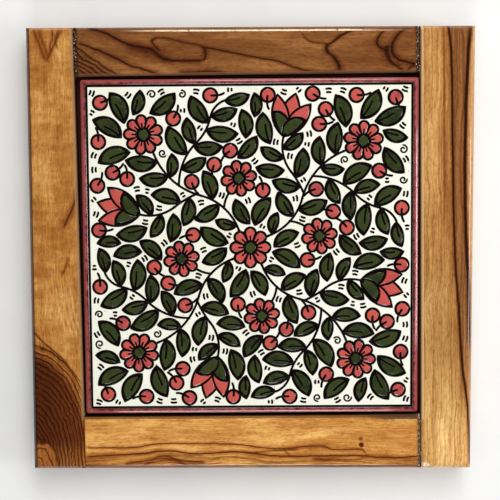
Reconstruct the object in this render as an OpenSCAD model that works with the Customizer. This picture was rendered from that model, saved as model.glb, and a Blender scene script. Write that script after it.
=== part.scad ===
// Trivet: a glazed flower tile in a frame of four olive-wood sticks.
// X runs to the right and Y to the top rail as one looks at the tile, Z up out of its face.
// The origin is the middle of the footprint, on the plane that the feet stand on.

/* [Tile] */
// Side of the square tile
tile_w = 151; // [120:0.5:220]
// Thickness of the tile with its glaze
tile_t = 6.6; // [5:0.1:12]
// Rounding of the tile's upper edges
tile_edge_r = 0.6; // [0.4:0.1:1.5]
// Rounding of the tile's four corners in plan
tile_corner_r = 1.2; // [0.8:0.1:4]
// How far the tile lies turned in its opening, in degrees
tile_turn = 0.2; // [0:0.05:1]
// Thickness of the white glaze
glaze_t = 0.35; // [0.2:0.05:0.6]
// How far the glaze runs down the tile's sides
glaze_skirt = 3; // [2:0.1:4]
// Width of the keying grooves in the tile's back
groove_w = 9; // [5:0.5:14]
// Depth of the keying grooves
groove_d = 0.7; // [0.3:0.1:1.2]

/* [Fit of the tile] */
// Narrowest gap between the tile and the stiles
side_gap = 0.25; // [0.2:0.05:3]
// Narrowest gap between the tile and the rails
rail_gap = 0.8; // [0.2:0.05:3]
// How far the tile's face lies below the frame's face
tile_drop = 0.45; // [0:0.05:3]
// Thickness of the adhesive under the tile
glue_t = 1; // [0.5:0.1:3]
// How far the adhesive stays back from the tile's edge
glue_margin = 6; // [2:0.5:20]

/* [Sticks] */
// Width of the left stile at the top
left_top_w = 20.8; // [18:0.1:40]
// Width of the left stile at the bottom
left_bottom_w = 23.7; // [18:0.1:40]
// Width of the right stile at the top
right_top_w = 24.3; // [18:0.1:40]
// Width of the right stile at the bottom
right_bottom_w = 22.4; // [18:0.1:40]
// Width of the top rail at the left
top_left_w = 21.8; // [18:0.1:40]
// Width of the top rail at the right
top_right_w = 20.2; // [18:0.1:40]
// Width of the bottom rail at the left
bottom_left_w = 24; // [18:0.1:40]
// Width of the bottom rail at the right
bottom_right_w = 25; // [18:0.1:40]
// Bevel round the outside of the face
outer_bevel = 1.7; // [0.5:0.1:2.5]
// Bevel along the edges next to the tile
inner_bevel = 0.8; // [0.3:0.1:2]
// Bevel round the outside of the back
back_bevel = 1; // [0.3:0.1:2.5]
// Rough bevel on the end of the top rail, left
top_left_bevel = 1.9; // [0.2:0.1:2.5]
// Rough bevel on the end of the top rail, right
top_right_bevel = 2.2; // [0.2:0.1:2.5]
// Bevel on the end of the bottom rail, left
bottom_left_bevel = 0.3; // [0.2:0.1:2.5]
// Rough bevel on the end of the bottom rail, right
bottom_right_bevel = 1.8; // [0.2:0.1:2.5]
// Length of the wane on the bottom rail's inner edge, from its right end
wane_len = 30; // [10:1:60]
// Bevel that the wane cuts
wane_bevel = 1.6; // [0.8:0.1:2.5]
// Glue line between a rail's end and its stile
joint_gap = 0.05; // [0.02:0.01:0.3]

/* [Backing board] */
// Thickness of the board
board_t = 5; // [3:0.1:9]
// How far the board lies inside the frame's back
board_recess = 1; // [0.5:0.1:3]
// Width of the ledge that the board is glued to
ledge_w = 5; // [3:0.1:6]
// Clearance round the board in its pocket
board_gap = 0.2; // [0.1:0.05:0.5]
// Corner radius that the cutter leaves in the pocket
pocket_r = 5; // [3:0.5:10]

/* [Dowels] */
// Diameter of a dowel
dowel_d = 5; // [3:0.1:6]
// Clearance of a dowel in its bore, on the radius
dowel_gap = 0.1; // [0.05:0.01:0.2]
// Wood left behind the bore in the narrowest stile
dowel_wall = 6; // [3:0.1:8]
// Room for glue at each end of a dowel
dowel_room = 1; // [0.5:0.1:2]

/* [Feet] */
// Diameter of a foot
foot_d = 14; // [8:0.1:18]
// Thickness of a foot
foot_t = 2.5; // [1.5:0.1:6]
// Rounding of a foot's lower edge
foot_round = 0.8; // [0.2:0.1:1.2]
// Distance from the end of a stile to a foot's middle
foot_inset = 12; // [10:0.5:40]

/* [Enamel] */
// Width of the red border band
band_w = 1.7; // [1:0.1:4]
// Height of the band's crown
band_rise = 0.3; // [0.1:0.05:0.4]
// Width of the black line inside the band
border_line_w = 0.75; // [0.4:0.05:2]
// Width of the black outlines
outline_w = 0.8; // [0.3:0.05:1]
// Width of the vines and stalks
stem_w = 0.8; // [0.4:0.05:1.2]
// Height of the black linework above the glaze
line_h = 0.12; // [0.05:0.01:0.3]
// Height of the coloured pads above the linework
pad_h = 0.2; // [0.1:0.01:0.5]

/* [Hidden] */
$fn = 96;
// Overrun of every cut
cut = 1;

// Grooves lie as wide apart as they are wide, and the outermost ones stay over the adhesive
groove_pitch = 2 * groove_w;
grooves_each_side = floor((tile_w / 2 - glue_margin - groove_w / 2) / groove_pitch);

// Half the width that the turned tile takes up
reach = tile_w / 2 * (cos(tile_turn) + sin(tile_turn));
left_w = max(left_top_w, left_bottom_w);
right_w = max(right_top_w, right_bottom_w);
top_w = max(top_left_w, top_right_w);
bottom_w = max(bottom_left_w, bottom_right_w);
frame_w = left_w + right_w + 2 * (reach + side_gap);
frame_h = top_w + bottom_w + 2 * (reach + rail_gap);
tile_x = left_w + side_gap + reach - frame_w / 2;
tile_y = bottom_w + rail_gap + reach - frame_h / 2;

// Levels from the plane under the feet
under_z = foot_t;
board_z = under_z + board_recess;
glue_z = board_z + board_t;
tile_z = glue_z + glue_t;
glaze_z = tile_z + tile_t;
face_z = glaze_z + tile_drop;
stick_t = face_z - under_z;

// Corners of the sticks in plan: the stiles run the full height, the rails fit between them
left_top = [left_top_w - frame_w / 2, frame_h / 2];
left_bottom = [left_bottom_w - frame_w / 2, -frame_h / 2];
right_top = [frame_w / 2 - right_top_w, frame_h / 2];
right_bottom = [frame_w / 2 - right_bottom_w, -frame_h / 2];
function left_inner(y) = left_bottom.x + (left_top.x - left_bottom.x) * (y / frame_h + 0.5);
function right_inner(y) = right_bottom.x + (right_top.x - right_bottom.x) * (y / frame_h + 0.5);
function top_inner(x) = frame_h / 2 - top_left_w + (top_left_w - top_right_w) * (x / frame_w + 0.5);
function bottom_inner(x) = bottom_left_w - frame_h / 2 + (bottom_right_w - bottom_left_w) * (x / frame_w + 0.5);

// Pocket in the frame's back for the board
pocket_w = 2 * (reach + max(side_gap, rail_gap) + ledge_w);
pocket_d = board_recess + board_t;

// Dowels lie between the pocket and the outside of the frame
dowel_shares = [0.3, 0.72];
dowel_len = 2 * (min(left_top_w, left_bottom_w, right_top_w, right_bottom_w) - dowel_wall - dowel_room);
dowel_z = under_z + stick_t / 2;
top_zone = [tile_y + pocket_w / 2, frame_h / 2];
bottom_zone = [tile_y - pocket_w / 2, -frame_h / 2];
function within(zone, share) = zone[0] + (zone[1] - zone[0]) * share;

// The white field inside the border
band_outer = tile_w / 2 - tile_edge_r;
band_inner = band_outer - band_w;
field_half = band_inner - border_line_w;
// Height of the band's upright edges as a share of its crown's height
band_edge_share = 0.4;

// Ornament, drawn for one quarter of the field and turned four times.
// Places and lengths are shares of half the field, and headings are degrees.
centre_rosette_share = 0.13;
centre_petals = 8;
berry_share = 0.049;
stalk_share = 0.083;
stalk_root_share = 0.8;
stalk_sweep = 38;
// Diameter of the knots on a vine, and how far its arcs stay back from their middles, as shares of the stem's width
knot_share = 1.35;
knot_back_share = 0.3;
// Bulge of a leaf's full side and of its flat side, as shares of its length
leaf_full_share = 0.35;
leaf_flat_share = 0.17;
// How far a pad's points stay back from its outline's points, in outline widths
point_share = 2;
rosette_centre_share = 0.26;
drop_top_share = 0.6;
petal_root_share = 0.42;
petal_side_share = 0.92;
// A vine has its start, its arcs, its leaves and its flower.
// Start: place and heading for the first vine; for a branch, the arc that it leaves, how far along, and its turn.
// Arcs: radius and sweep. Leaves: arc, how far along, side, splay and length.
// Flower: 0 for a rosette, with size, petals and a whorl of leaves (bearing, splay, length), or 1 for a tulip.
vines_share = [
    [[0.112, 0.072, 20], [[0.34, 55], [0.43, -53], [0.24, 6]],
        [[0, 0.08, 1, 50, 0.14], [0, 0.62, 1, 68, 0.18], [0, 0.77, -1, 45, 0.19], [1, 0.60, 1, 50, 0.18],
            [1, 0.57, -1, 50, 0.15], [1, 0.88, 1, 58, 0.20]],
        [0, 0.126, 9, [[-45, -35, 0.20], [0, -45, 0.16], [32, -35, 0.21], [70, -40, 0.21], [115, -35, 0.21]]]],
    [[1, 0.38, -55], [[0.37, -46], [0.30, 34], [0.14, -60]],
        [[0, 0.35, -1, 50, 0.17], [0, 0.68, 1, 65, 0.21], [0, 0.90, -1, 50, 0.18], [0, 0.95, 1, 60, 0.17],
            [1, 0.55, -1, 70, 0.20], [1, 0.80, 1, 52, 0.20], [2, 0.05, -1, 60, 0.17], [2, 0.95, -1, 8, 0.16]],
        []],
    [[1, 0.08, 42], [[0.60, 15], [0.25, -54]],
        [[0, 0.30, 1, 50, 0.18], [0, 0.70, -1, 48, 0.19], [1, 0.40, 1, 48, 0.16], [1, 0.65, -1, 55, 0.16]],
        [1, 0.28]],
    [[0, 0.50, -52], [[0.20, -30]],
        [],
        [0, 0.115, 8, [[-22, -40, 0.18], [38, -45, 0.18]]]]
];
// Leaves that stand free: place, heading, length and full side
loose_leaves_share = [[0.03, 0.135, 60, 0.20, 1], [0.13, 0.64, 103, 0.20, 1], [0.03, 0.805, 90, 0.15, -1],
    [0.675, 0.025, 8, 0.18, -1], [0.147, 0.00, 30, 0.18, 1]];
// Berries: place and the heading that the stalk comes in along
berries_share = [[0.90, 0.92, 110], [0.80, 0.47, 150], [0.94, 0.24, 90], [0.39, 0.945, 150],
    [0.08, 0.355, -85], [0.60, 0.12, -50], [0.43, 0.76, 180], [0.114, 0.94, 85], [0.515, 0.22, -15],
    [0.47, 0.85, 120], [0.41, 0.36, 20], [0.66, 0.935, 180]];
// Tulip lobes and calyx leaves: heading, then length and left and right bulge as shares of the tulip's size
lobes_share = [[0, 1, 0.22, 0.22], [24, 0.95, 0.2, 0.2], [-24, 0.95, 0.2, 0.2]];
calyx_share = [[38, 0.62, 0.05, 0.25], [-38, 0.62, 0.25, 0.05]];

// Pose (x, y, heading) after an arc of the given radius and sweep from a pose
function arc_on(pose, radius, sweep) =
    let (turn = sign(sweep), h = pose[2], a = h + sweep)
    [pose.x + turn * radius * (sin(a) - sin(h)), pose.y - turn * radius * (cos(a) - cos(h)), a];
// Pose at the start of arc k of a chain
function chain_pose(start, arcs, k) =
    k == 0 ? start
    : arc_on(chain_pose(start, arcs, k - 1), arcs[k - 1][0] * field_half, arcs[k - 1][1]);
// Pose part of the way along arc k of vine i
function on_vine(i, k, share) =
    let (arcs = vines_share[i][1])
    arc_on(chain_pose(vine_start(i), arcs, k), arcs[k][0] * field_half, arcs[k][1] * share);
function vine_start(i) =
    let (s = vines_share[i][0])
    i == 0 ? [s.x * field_half, s.y * field_half, s[2]]
    : let (p = on_vine(0, s[0], s[1])) [p.x, p.y, p[2] + s[2]];
function vine_end(i) = chain_pose(vine_start(i), vines_share[i][1], len(vines_share[i][1]));
function ahead(pose, bearing, distance) =
    [pose.x + distance * cos(bearing), pose.y + distance * sin(bearing)];
function bloom(i) = vines_share[i][3];
function bloom_size(i) = bloom(i)[1] * field_half;
// A vine ends inside the petal that faces it, or inside the foot of its tulip
function rosette_middle(i) = ahead(vine_end(i), vine_end(i)[2], bloom_size(i) - outline_w);
function tulip_foot(i) = ahead(vine_end(i), vine_end(i)[2], -outline_w);
rosettes = [for (i = [0:len(vines_share) - 1]) if (len(bloom(i)) > 0 && bloom(i)[0] == 0) i];
tulips = [for (i = [0:len(vines_share) - 1]) if (len(bloom(i)) > 0 && bloom(i)[0] == 1) i];
// Every leaf of a quarter: x, y, heading, length and full side
leaf_list = [
    for (i = [0:len(vines_share) - 1]) for (leaf = vines_share[i][2])
        let (p = on_vine(i, leaf[0], leaf[1]))
        [p.x, p.y, p[2] + leaf[2] * leaf[3], leaf[4] * field_half, leaf[2]],
    for (i = rosettes) for (leaf = bloom(i)[3])
        let (bearing = vine_end(i)[2] + leaf[0], p = ahead(rosette_middle(i), bearing, bloom_size(i) + outline_w))
        [p.x, p.y, bearing + leaf[1], leaf[2] * field_half, sign(leaf[1])],
    for (leaf = loose_leaves_share)
        [leaf.x * field_half, leaf.y * field_half, leaf[2], leaf[3] * field_half, leaf[4]]
];
berry_r = berry_share * field_half;

// Four sticks of olive wood

// Cuts a bevel along the straight edge from a to b at the given level
module bevel(a, b, leg, level) {
    side = leg * sqrt(2);
    translate([a.x, a.y, level]) rotate([0, 0, atan2(b.y - a.y, b.x - a.x)])
        translate([-cut, 0, 0]) rotate([45, 0, 0]) translate([0, -side / 2, -side / 2])
            cube([norm(b - a) + 2 * cut, side, side]);
}

// A stick from its outline in plan, with the pocket for the board cut from its back
module stick(outline) {
    difference() {
        translate([0, 0, under_z]) linear_extrude(stick_t) polygon(outline);
        translate([tile_x, tile_y, under_z - cut]) rounded_plate(pocket_w, pocket_d + cut, pocket_r);
        frame_bevels();
    }
}

// Bevels round the outside of the whole frame, on the face and on the back
module frame_bevels() {
    corners = [[-frame_w, -frame_h] / 2, [frame_w, -frame_h] / 2, [frame_w, frame_h] / 2, [-frame_w, frame_h] / 2];
    for (i = [0:3]) {
        bevel(corners[i], corners[(i + 1) % 4], outer_bevel, face_z);
        bevel(corners[i], corners[(i + 1) % 4], back_bevel, under_z);
    }
}

// Square plate with round corners
module rounded_plate(w, h, r) {
    for (size = [[w, w - 2 * r], [w - 2 * r, w]])
        translate([-size.x / 2, -size.y / 2, 0]) cube([size.x, size.y, h]);
    for (x = [-1, 1]) for (y = [-1, 1])
        translate([x * (w / 2 - r), y * (w / 2 - r), 0]) cylinder(r = r, h = h);
}

// Places of the dowels at one joint: [x, y] on the joint line
function joint_left(zone, share) = let (y = within(zone, share)) [left_inner(y), y];
function joint_right(zone, share) = let (y = within(zone, share)) [right_inner(y), y];

module dowel_at(place, radius, length) {
    translate([place.x, place.y, dowel_z]) rotate([0, 90, 0]) cylinder(r = radius, h = length, center = true);
}

module dowel_bores(places) {
    for (p = places) dowel_at(p, dowel_d / 2 + dowel_gap, dowel_len + 2 * dowel_room);
}

function left_places() = [for (zone = [top_zone, bottom_zone]) for (s = dowel_shares) joint_left(zone, s)];
function right_places() = [for (zone = [top_zone, bottom_zone]) for (s = dowel_shares) joint_right(zone, s)];

module left_stile() {
    color("#c49454") difference() {
        stick([[-frame_w, -frame_h] / 2, left_bottom, left_top, [-frame_w, frame_h] / 2]);
        bevel(left_bottom, left_top, inner_bevel, face_z);
        dowel_bores(left_places());
    }
}

module right_stile() {
    color("#d4aa68") difference() {
        stick([right_bottom, [frame_w, -frame_h] / 2, [frame_w, frame_h] / 2, right_top]);
        bevel(right_bottom, right_top, inner_bevel, face_z);
        dowel_bores(right_places());
    }
}

// A rail's four corners: its ends stand a glue line off the stiles
function rail_corners(y_left, y_right, y_out) = [
    [left_inner(y_left) + joint_gap, y_left], [right_inner(y_right) - joint_gap, y_right],
    [right_inner(y_out) - joint_gap, y_out], [left_inner(y_out) + joint_gap, y_out]];

module top_rail() {
    c = rail_corners(top_inner(left_top.x), top_inner(right_top.x), frame_h / 2);
    color("#825430") difference() {
        stick(c);
        bevel(c[0], c[1], inner_bevel, face_z);
        bevel(c[0], c[3], top_left_bevel, face_z);
        bevel(c[1], c[2], top_right_bevel, face_z);
        dowel_bores(concat(left_places(), right_places()));
    }
}

module bottom_rail() {
    c = rail_corners(bottom_inner(left_bottom.x), bottom_inner(right_bottom.x), -frame_h / 2);
    wane_start = c[1] - (c[1] - c[0]) / norm(c[1] - c[0]) * wane_len;
    color("#c6914b") difference() {
        stick(c);
        bevel(c[0], c[1], inner_bevel, face_z);
        bevel(wane_start, c[1], wane_bevel, face_z);
        bevel(c[0], c[3], bottom_left_bevel, face_z);
        bevel(c[1], c[2], bottom_right_bevel, face_z);
        dowel_bores(concat(left_places(), right_places()));
    }
}

// Dowels: outer ones lie next to the frame's outside, inner ones next to the pocket

module dowel(place) {
    color("#d9bb86") dowel_at(place, dowel_d / 2, dowel_len);
}

module dowel_top_left_outer() {
    dowel(joint_left(top_zone, dowel_shares[1]));
}

module dowel_top_left_inner() {
    dowel(joint_left(top_zone, dowel_shares[0]));
}

module dowel_top_right_outer() {
    dowel(joint_right(top_zone, dowel_shares[1]));
}

module dowel_top_right_inner() {
    dowel(joint_right(top_zone, dowel_shares[0]));
}

module dowel_bottom_left_outer() {
    dowel(joint_left(bottom_zone, dowel_shares[1]));
}

module dowel_bottom_left_inner() {
    dowel(joint_left(bottom_zone, dowel_shares[0]));
}

module dowel_bottom_right_outer() {
    dowel(joint_right(bottom_zone, dowel_shares[1]));
}

module dowel_bottom_right_inner() {
    dowel(joint_right(bottom_zone, dowel_shares[0]));
}

// Board that closes the back and carries the tile

module backing_board() {
    color("#b98f5e") translate([tile_x, tile_y, board_z])
        rounded_plate(pocket_w - 2 * board_gap, board_t, pocket_r - board_gap);
}

// Tile and what is fired on it

module on_tile(level) {
    translate([tile_x, tile_y, level]) rotate(tile_turn) children();
}

module tile_adhesive() {
    side = tile_w - 2 * glue_margin;
    color("#d8d4c8") on_tile(glue_z) translate([-side / 2, -side / 2, 0]) cube([side, side, glue_t]);
}

// Upright outline of a block whose upper edges are rounded
module block_profile(w, h, r) {
    translate([-w / 2, 0]) square([w, h - r]);
    translate([r - w / 2, 0]) square([w - 2 * r, h]);
    for (x = [-1, 1]) translate([x * (w / 2 - r), h - r]) circle(r);
}

// Square block with rounded upper edges and rounded corners
module tile_block(w, h, edge_r, corner_r) {
    intersection() {
        rotate([90, 0, 0]) linear_extrude(w + cut, center = true) block_profile(w, h, edge_r);
        rotate([90, 0, 90]) linear_extrude(w + cut, center = true) block_profile(w, h, edge_r);
        rounded_plate(w, h + cut, corner_r);
    }
}

module biscuit() {
    tile_block(tile_w - 2 * glaze_t, tile_t - glaze_t, tile_edge_r, tile_corner_r - glaze_t);
}

// Biscuit with keying grooves across its back
module tile_body() {
    color("#c8a58a") on_tile(tile_z) difference() {
        biscuit();
        for (i = [-grooves_each_side:grooves_each_side])
            translate([i * groove_pitch - groove_w / 2, -tile_w, -cut]) cube([groove_w, 2 * tile_w, groove_d + cut]);
    }
}

// White glaze over the face and down the sides
module white_glaze() {
    color("#f8f6e6") on_tile(tile_z) difference() {
        tile_block(tile_w, tile_t, tile_edge_r, tile_corner_r);
        biscuit();
        translate([-tile_w, -tile_w, -cut]) cube([2 * tile_w, 2 * tile_w, tile_t - glaze_skirt + cut]);
    }
}

// One side of the border: a bar with upright edges and a crowned top, mitred at both ends
module border_side() {
    crown = band_rise * (1 - band_edge_share);
    crown_r = (band_w * band_w / 4 + crown * crown) / (2 * crown);
    intersection() {
        linear_extrude(band_rise + cut)
            polygon([[-band_outer, -band_outer], [band_outer, -band_outer],
                [band_inner, -band_inner], [-band_inner, -band_inner]]);
        translate([0, -(band_outer + band_inner) / 2, band_rise - crown_r])
            rotate([0, 90, 0]) cylinder(r = crown_r, h = tile_w, center = true);
    }
}

module red_border() {
    color("#964646") on_tile(glaze_z) for (i = [0:3]) rotate(i * 90) border_side();
}

module quarters() {
    for (i = [0:3]) rotate(i * 90) children();
}

// Side of a leaf: the disc whose edge passes through both ends of the chord with the given bulge
module bulge_disc(chord, bulge, side) {
    radius = (chord * chord / 4 + bulge * bulge) / (2 * bulge);
    translate([chord / 2, side * (bulge - radius)]) circle(radius);
}

// Pointed leaf along +X, drawn back by an inset on all sides
module lens(length, left, right, inset) {
    back = inset * point_share;
    translate([back, 0]) intersection() {
        bulge_disc(length - 2 * back, left - inset, 1);
        bulge_disc(length - 2 * back, right - inset, -1);
    }
}

module leaf_shape(leaf, inset) {
    length = leaf[3];
    full = leaf_full_share * length;
    flat = leaf_flat_share * length;
    translate([leaf.x, leaf.y]) rotate(leaf[2])
        lens(length, leaf[4] > 0 ? full : flat, leaf[4] > 0 ? flat : full, inset);
}

// Distance from a rosette's middle to the round ends of its petals, whose outlines touch each other
function petal_middle(radius, petals) = (radius - outline_w / 2) / (1 + sin(180 / petals));

// Petal along +X of a rosette with the given outer radius: a round end with sides that run to the root
module petal_shape(radius, petals) {
    middle = petal_middle(radius, petals);
    end_r = radius - outline_w - middle;
    root = petal_root_share * middle;
    translate([middle, 0]) circle(end_r);
    polygon([[root, -petal_root_share * end_r], [middle, -petal_side_share * end_r],
        [middle, petal_side_share * end_r], [root, petal_root_share * end_r]]);
}

module tulip_part(row, size, inset) {
    rotate(row[0]) lens(row[1] * size, row[2] * size, row[3] * size, inset);
}

// Curved bar of linework from a pose, along an arc
module stem_arc(pose, radius, sweep) {
    turn = sign(sweep);
    translate([pose.x, pose.y, 0]) rotate(pose[2]) translate([0, turn * radius, 0])
        rotate(turn > 0 ? -90 : 90 + sweep)
            rotate_extrude(angle = abs(sweep)) translate([radius - stem_w / 2, 0]) square([stem_w, line_h]);
}

// One arc of a vine: a knot where it starts, and a bar that is drawn back under the knots at both ends
module vine_arc(pose, radius, sweep) {
    back = sign(sweep) * knot_back_share * stem_w / radius * 180 / PI;
    translate([pose.x, pose.y, 0]) cylinder(d = knot_share * stem_w, h = line_h);
    stem_arc(arc_on(pose, radius, back), radius, sweep - 2 * back);
}

// Straight bar of linework from the middle rosette out to the first vine
module first_stem() {
    start = vine_start(0);
    rotate(atan2(start.y, start.x)) translate([0, -stem_w / 2, 0]) cube([norm([start.x, start.y]), stem_w, line_h]);
}

module rosette_outline(radius, petals) {
    middle = petal_middle(radius, petals);
    circle(middle);
    for (k = [0:petals - 1]) rotate(k * 360 / petals) translate([middle, 0]) circle(radius - middle);
}

module flower_outlines() {
    for (i = rosettes) translate(rosette_middle(i)) rotate(vine_end(i)[2] + 180)
        rosette_outline(bloom_size(i), bloom(i)[2]);
    for (i = tulips) translate(tulip_foot(i)) rotate(vine_end(i)[2])
        for (row = concat(lobes_share, calyx_share)) tulip_part(row, bloom_size(i), 0);
}

// Black line inside the border, the vines, and the outlines that the coloured pads lie in
module black_linework() {
    color("#0a0508") on_tile(glaze_z) {
        linear_extrude(line_h) difference() {
            translate([-band_inner, -band_inner]) square(2 * band_inner);
            translate([-field_half, -field_half]) square(2 * field_half);
        }
        linear_extrude(line_h) rosette_outline(centre_rosette_share * field_half, centre_petals);
        quarters() {
            first_stem();
            for (i = [0:len(vines_share) - 1]) for (k = [0:len(vines_share[i][1]) - 1])
                let (arc = vines_share[i][1][k])
                vine_arc(chain_pose(vine_start(i), vines_share[i][1], k), arc[0] * field_half, arc[1]);
            for (b = berries_share)
                let (root = ahead([b.x, b.y] * field_half, b[2] + 180, berry_r * stalk_root_share))
                stem_arc([root.x, root.y, b[2] + 180], stalk_share * field_half, stalk_sweep);
            linear_extrude(line_h) {
                for (leaf = leaf_list) leaf_shape(leaf, 0);
                for (b = berries_share) translate([b.x, b.y] * field_half) circle(berry_r);
                flower_outlines();
            }
        }
    }
}

// Pads of coloured enamel lie on the linework
module on_linework() {
    on_tile(glaze_z + line_h) children();
}

module leaves() {
    color("#303a1c") on_linework() quarters() linear_extrude(pad_h)
        for (leaf = leaf_list) leaf_shape(leaf, outline_w);
}

module rosette_petals(radius, petals) {
    for (k = [0:petals - 1]) rotate(k * 360 / petals) difference() {
        petal_shape(radius, petals);
        circle(rosette_centre_share * radius + outline_w);
    }
}

// Pads for some parts of a tulip, where each stays clear of the parts that lie over it
module tulip_pads(size, first, last) {
    rows = concat(lobes_share, calyx_share);
    for (i = [first:last]) difference() {
        linear_extrude(pad_h) tulip_part(rows[i], size, outline_w);
        if (i < len(rows) - 1) for (j = [i + 1:len(rows) - 1])
            translate([0, 0, -cut]) linear_extrude(pad_h + 2 * cut) tulip_part(rows[j], size, 0);
    }
}

module petals() {
    color("#c4524a") on_linework() {
        linear_extrude(pad_h) rosette_petals(centre_rosette_share * field_half, centre_petals);
        quarters() {
            for (i = rosettes) translate(rosette_middle(i)) rotate(vine_end(i)[2] + 180)
                linear_extrude(pad_h) rosette_petals(bloom_size(i), bloom(i)[2]);
            for (i = tulips) translate(tulip_foot(i)) rotate(vine_end(i)[2])
                tulip_pads(bloom_size(i), 0, len(lobes_share) - 1);
        }
    }
}

// Round drop of enamel: an upright edge below, and a top that draws in
module drop(radius, height) {
    cylinder(r = radius, h = height / 2);
    translate([0, 0, height / 2]) cylinder(r1 = radius, r2 = radius * drop_top_share, h = height / 2);
}

module berries() {
    color("#c4524a") on_linework() quarters()
        for (b = berries_share) translate([b.x * field_half, b.y * field_half, 0]) drop(berry_r - outline_w, pad_h);
}

module flower_centres() {
    color("#303a1c") on_linework() {
        drop(rosette_centre_share * centre_rosette_share * field_half, pad_h);
        quarters() for (i = rosettes) translate(rosette_middle(i))
            drop(rosette_centre_share * bloom_size(i), pad_h);
    }
}

module calyxes() {
    color("#303a1c") on_linework() quarters()
        for (i = tulips) translate(tulip_foot(i)) rotate(vine_end(i)[2])
            tulip_pads(bloom_size(i), len(lobes_share), len(lobes_share) + len(calyx_share) - 1);
}

// Rubber feet under the ends of the stiles

module foot(side, end) {
    stile_w = side < 0 ? min(left_top_w, left_bottom_w) : min(right_top_w, right_bottom_w);
    r = foot_d / 2;
    color("#2a2724") translate([side * (frame_w - stile_w) / 2, end * (frame_h / 2 - foot_inset), 0])
        rotate_extrude() {
            square([r - foot_round, foot_t]);
            translate([0, foot_round]) square([r, foot_t - foot_round]);
            intersection() {
                translate([r - foot_round, foot_round]) circle(foot_round);
                translate([r - foot_round, 0]) square(foot_round);
            }
        }
}

module foot_top_left() {
    foot(-1, 1);
}

module foot_top_right() {
    foot(1, 1);
}

module foot_bottom_left() {
    foot(-1, -1);
}

module foot_bottom_right() {
    foot(1, -1);
}

left_stile();
right_stile();
top_rail();
bottom_rail();
dowel_top_left_outer();
dowel_top_left_inner();
dowel_top_right_outer();
dowel_top_right_inner();
dowel_bottom_left_outer();
dowel_bottom_left_inner();
dowel_bottom_right_outer();
dowel_bottom_right_inner();
backing_board();
tile_adhesive();
tile_body();
white_glaze();
red_border();
black_linework();
leaves();
petals();
berries();
flower_centres();
calyxes();
foot_top_left();
foot_top_right();
foot_bottom_left();
foot_bottom_right();
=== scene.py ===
import math
from functools import partial

import bmesh
import bpy
import numpy as np
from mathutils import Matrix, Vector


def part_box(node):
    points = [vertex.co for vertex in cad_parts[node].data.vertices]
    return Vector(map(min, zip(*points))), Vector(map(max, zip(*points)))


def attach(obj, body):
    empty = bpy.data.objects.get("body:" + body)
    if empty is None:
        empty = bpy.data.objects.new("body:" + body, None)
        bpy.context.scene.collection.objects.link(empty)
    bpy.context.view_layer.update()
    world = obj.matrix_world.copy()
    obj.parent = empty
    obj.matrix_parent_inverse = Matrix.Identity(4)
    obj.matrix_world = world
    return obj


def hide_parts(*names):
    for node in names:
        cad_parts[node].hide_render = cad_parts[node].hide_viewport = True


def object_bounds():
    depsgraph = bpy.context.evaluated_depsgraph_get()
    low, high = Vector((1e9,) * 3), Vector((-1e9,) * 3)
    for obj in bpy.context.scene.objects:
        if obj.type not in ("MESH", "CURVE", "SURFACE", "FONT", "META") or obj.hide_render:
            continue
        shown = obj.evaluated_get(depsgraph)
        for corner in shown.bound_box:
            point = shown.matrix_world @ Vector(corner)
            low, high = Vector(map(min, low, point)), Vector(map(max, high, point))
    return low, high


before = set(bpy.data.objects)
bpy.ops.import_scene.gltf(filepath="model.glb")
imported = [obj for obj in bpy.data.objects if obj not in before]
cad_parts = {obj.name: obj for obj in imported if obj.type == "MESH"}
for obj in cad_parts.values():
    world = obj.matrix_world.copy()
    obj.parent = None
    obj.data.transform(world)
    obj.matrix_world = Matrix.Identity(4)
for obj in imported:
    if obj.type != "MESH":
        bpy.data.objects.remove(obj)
cad_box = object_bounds()

# Left stile: a full-height stick of olive wood, honey tan with a red-brown heart at its lower end.
# It is sawn to a slight taper, chamfered, sanded and varnished, with a stopped rebate in its back
# for the board. All lengths are in millimetres until a mesh is made.
outer_low, outer_high = (np.array(corner) * 1000 for corner in cad_box)
face_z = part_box("left_stile")[1].z * 1000
under_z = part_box("left_stile")[0].z * 1000
left_top_w, left_bottom_w = 20.8, 23.7
outer_bevel, inner_bevel, back_bevel = 1.7, 0.8, 1.0
arris_r, gap_reach, beyond_joint = 0.35, 2.0, (-78.0, -76.5)
board_low, board_high = (np.array(corner) * 1000 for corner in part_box("backing_board"))
board_gap, pocket_r = 0.2, 5.0
pocket_mid = (board_low + board_high)[:2] / 2
pocket_half = (board_high - board_low)[0] / 2 + board_gap
pocket_ceiling = board_high[2]


def lumps(x, y, size, seed):
    """Smooth bumps from 0 to 1: random heights on a square lattice of the given size, eased between
    the four lattice points round each place by the cubic 3t^2 - 2t^3."""
    heights = np.random.default_rng(seed).random((64, 64))
    column, row = np.asarray(x) / size, np.asarray(y) / size
    i, j = np.floor(column).astype(int), np.floor(row).astype(int)
    s, t = column - i, row - j
    s, t = s * s * (3 - 2 * s), t * t * (3 - 2 * t)
    near = heights[i % 64, j % 64] * (1 - s) + heights[(i + 1) % 64, j % 64] * s
    far = heights[i % 64, (j + 1) % 64] * (1 - s) + heights[(i + 1) % 64, (j + 1) % 64] * s
    return near * (1 - t) + far * t


def spaced(length, near_steps, middle_step, extra=()):
    """Distances along an edge: the near steps counted in from both ends, and about equal steps
    between them. Extra distances are sorted in."""
    near = np.concatenate([[0], np.cumsum(near_steps)])
    count = max(2, int(round((length - 2 * near[-1]) / middle_step)))
    middle = np.linspace(near[-1], length - near[-1], count + 1)[1:-1]
    return np.sort(np.concatenate([near, middle, length - near, np.asarray(extra, float)]))


def edge_distance(plan, start, end):
    """Distance of each place in plan from the straight edge that runs from start to end, counted
    towards the left of that direction."""
    along = (end - start) / np.linalg.norm(end - start)
    return (plan[..., 1] - start[1]) * along[0] - (plan[..., 0] - start[0]) * along[1]


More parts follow.
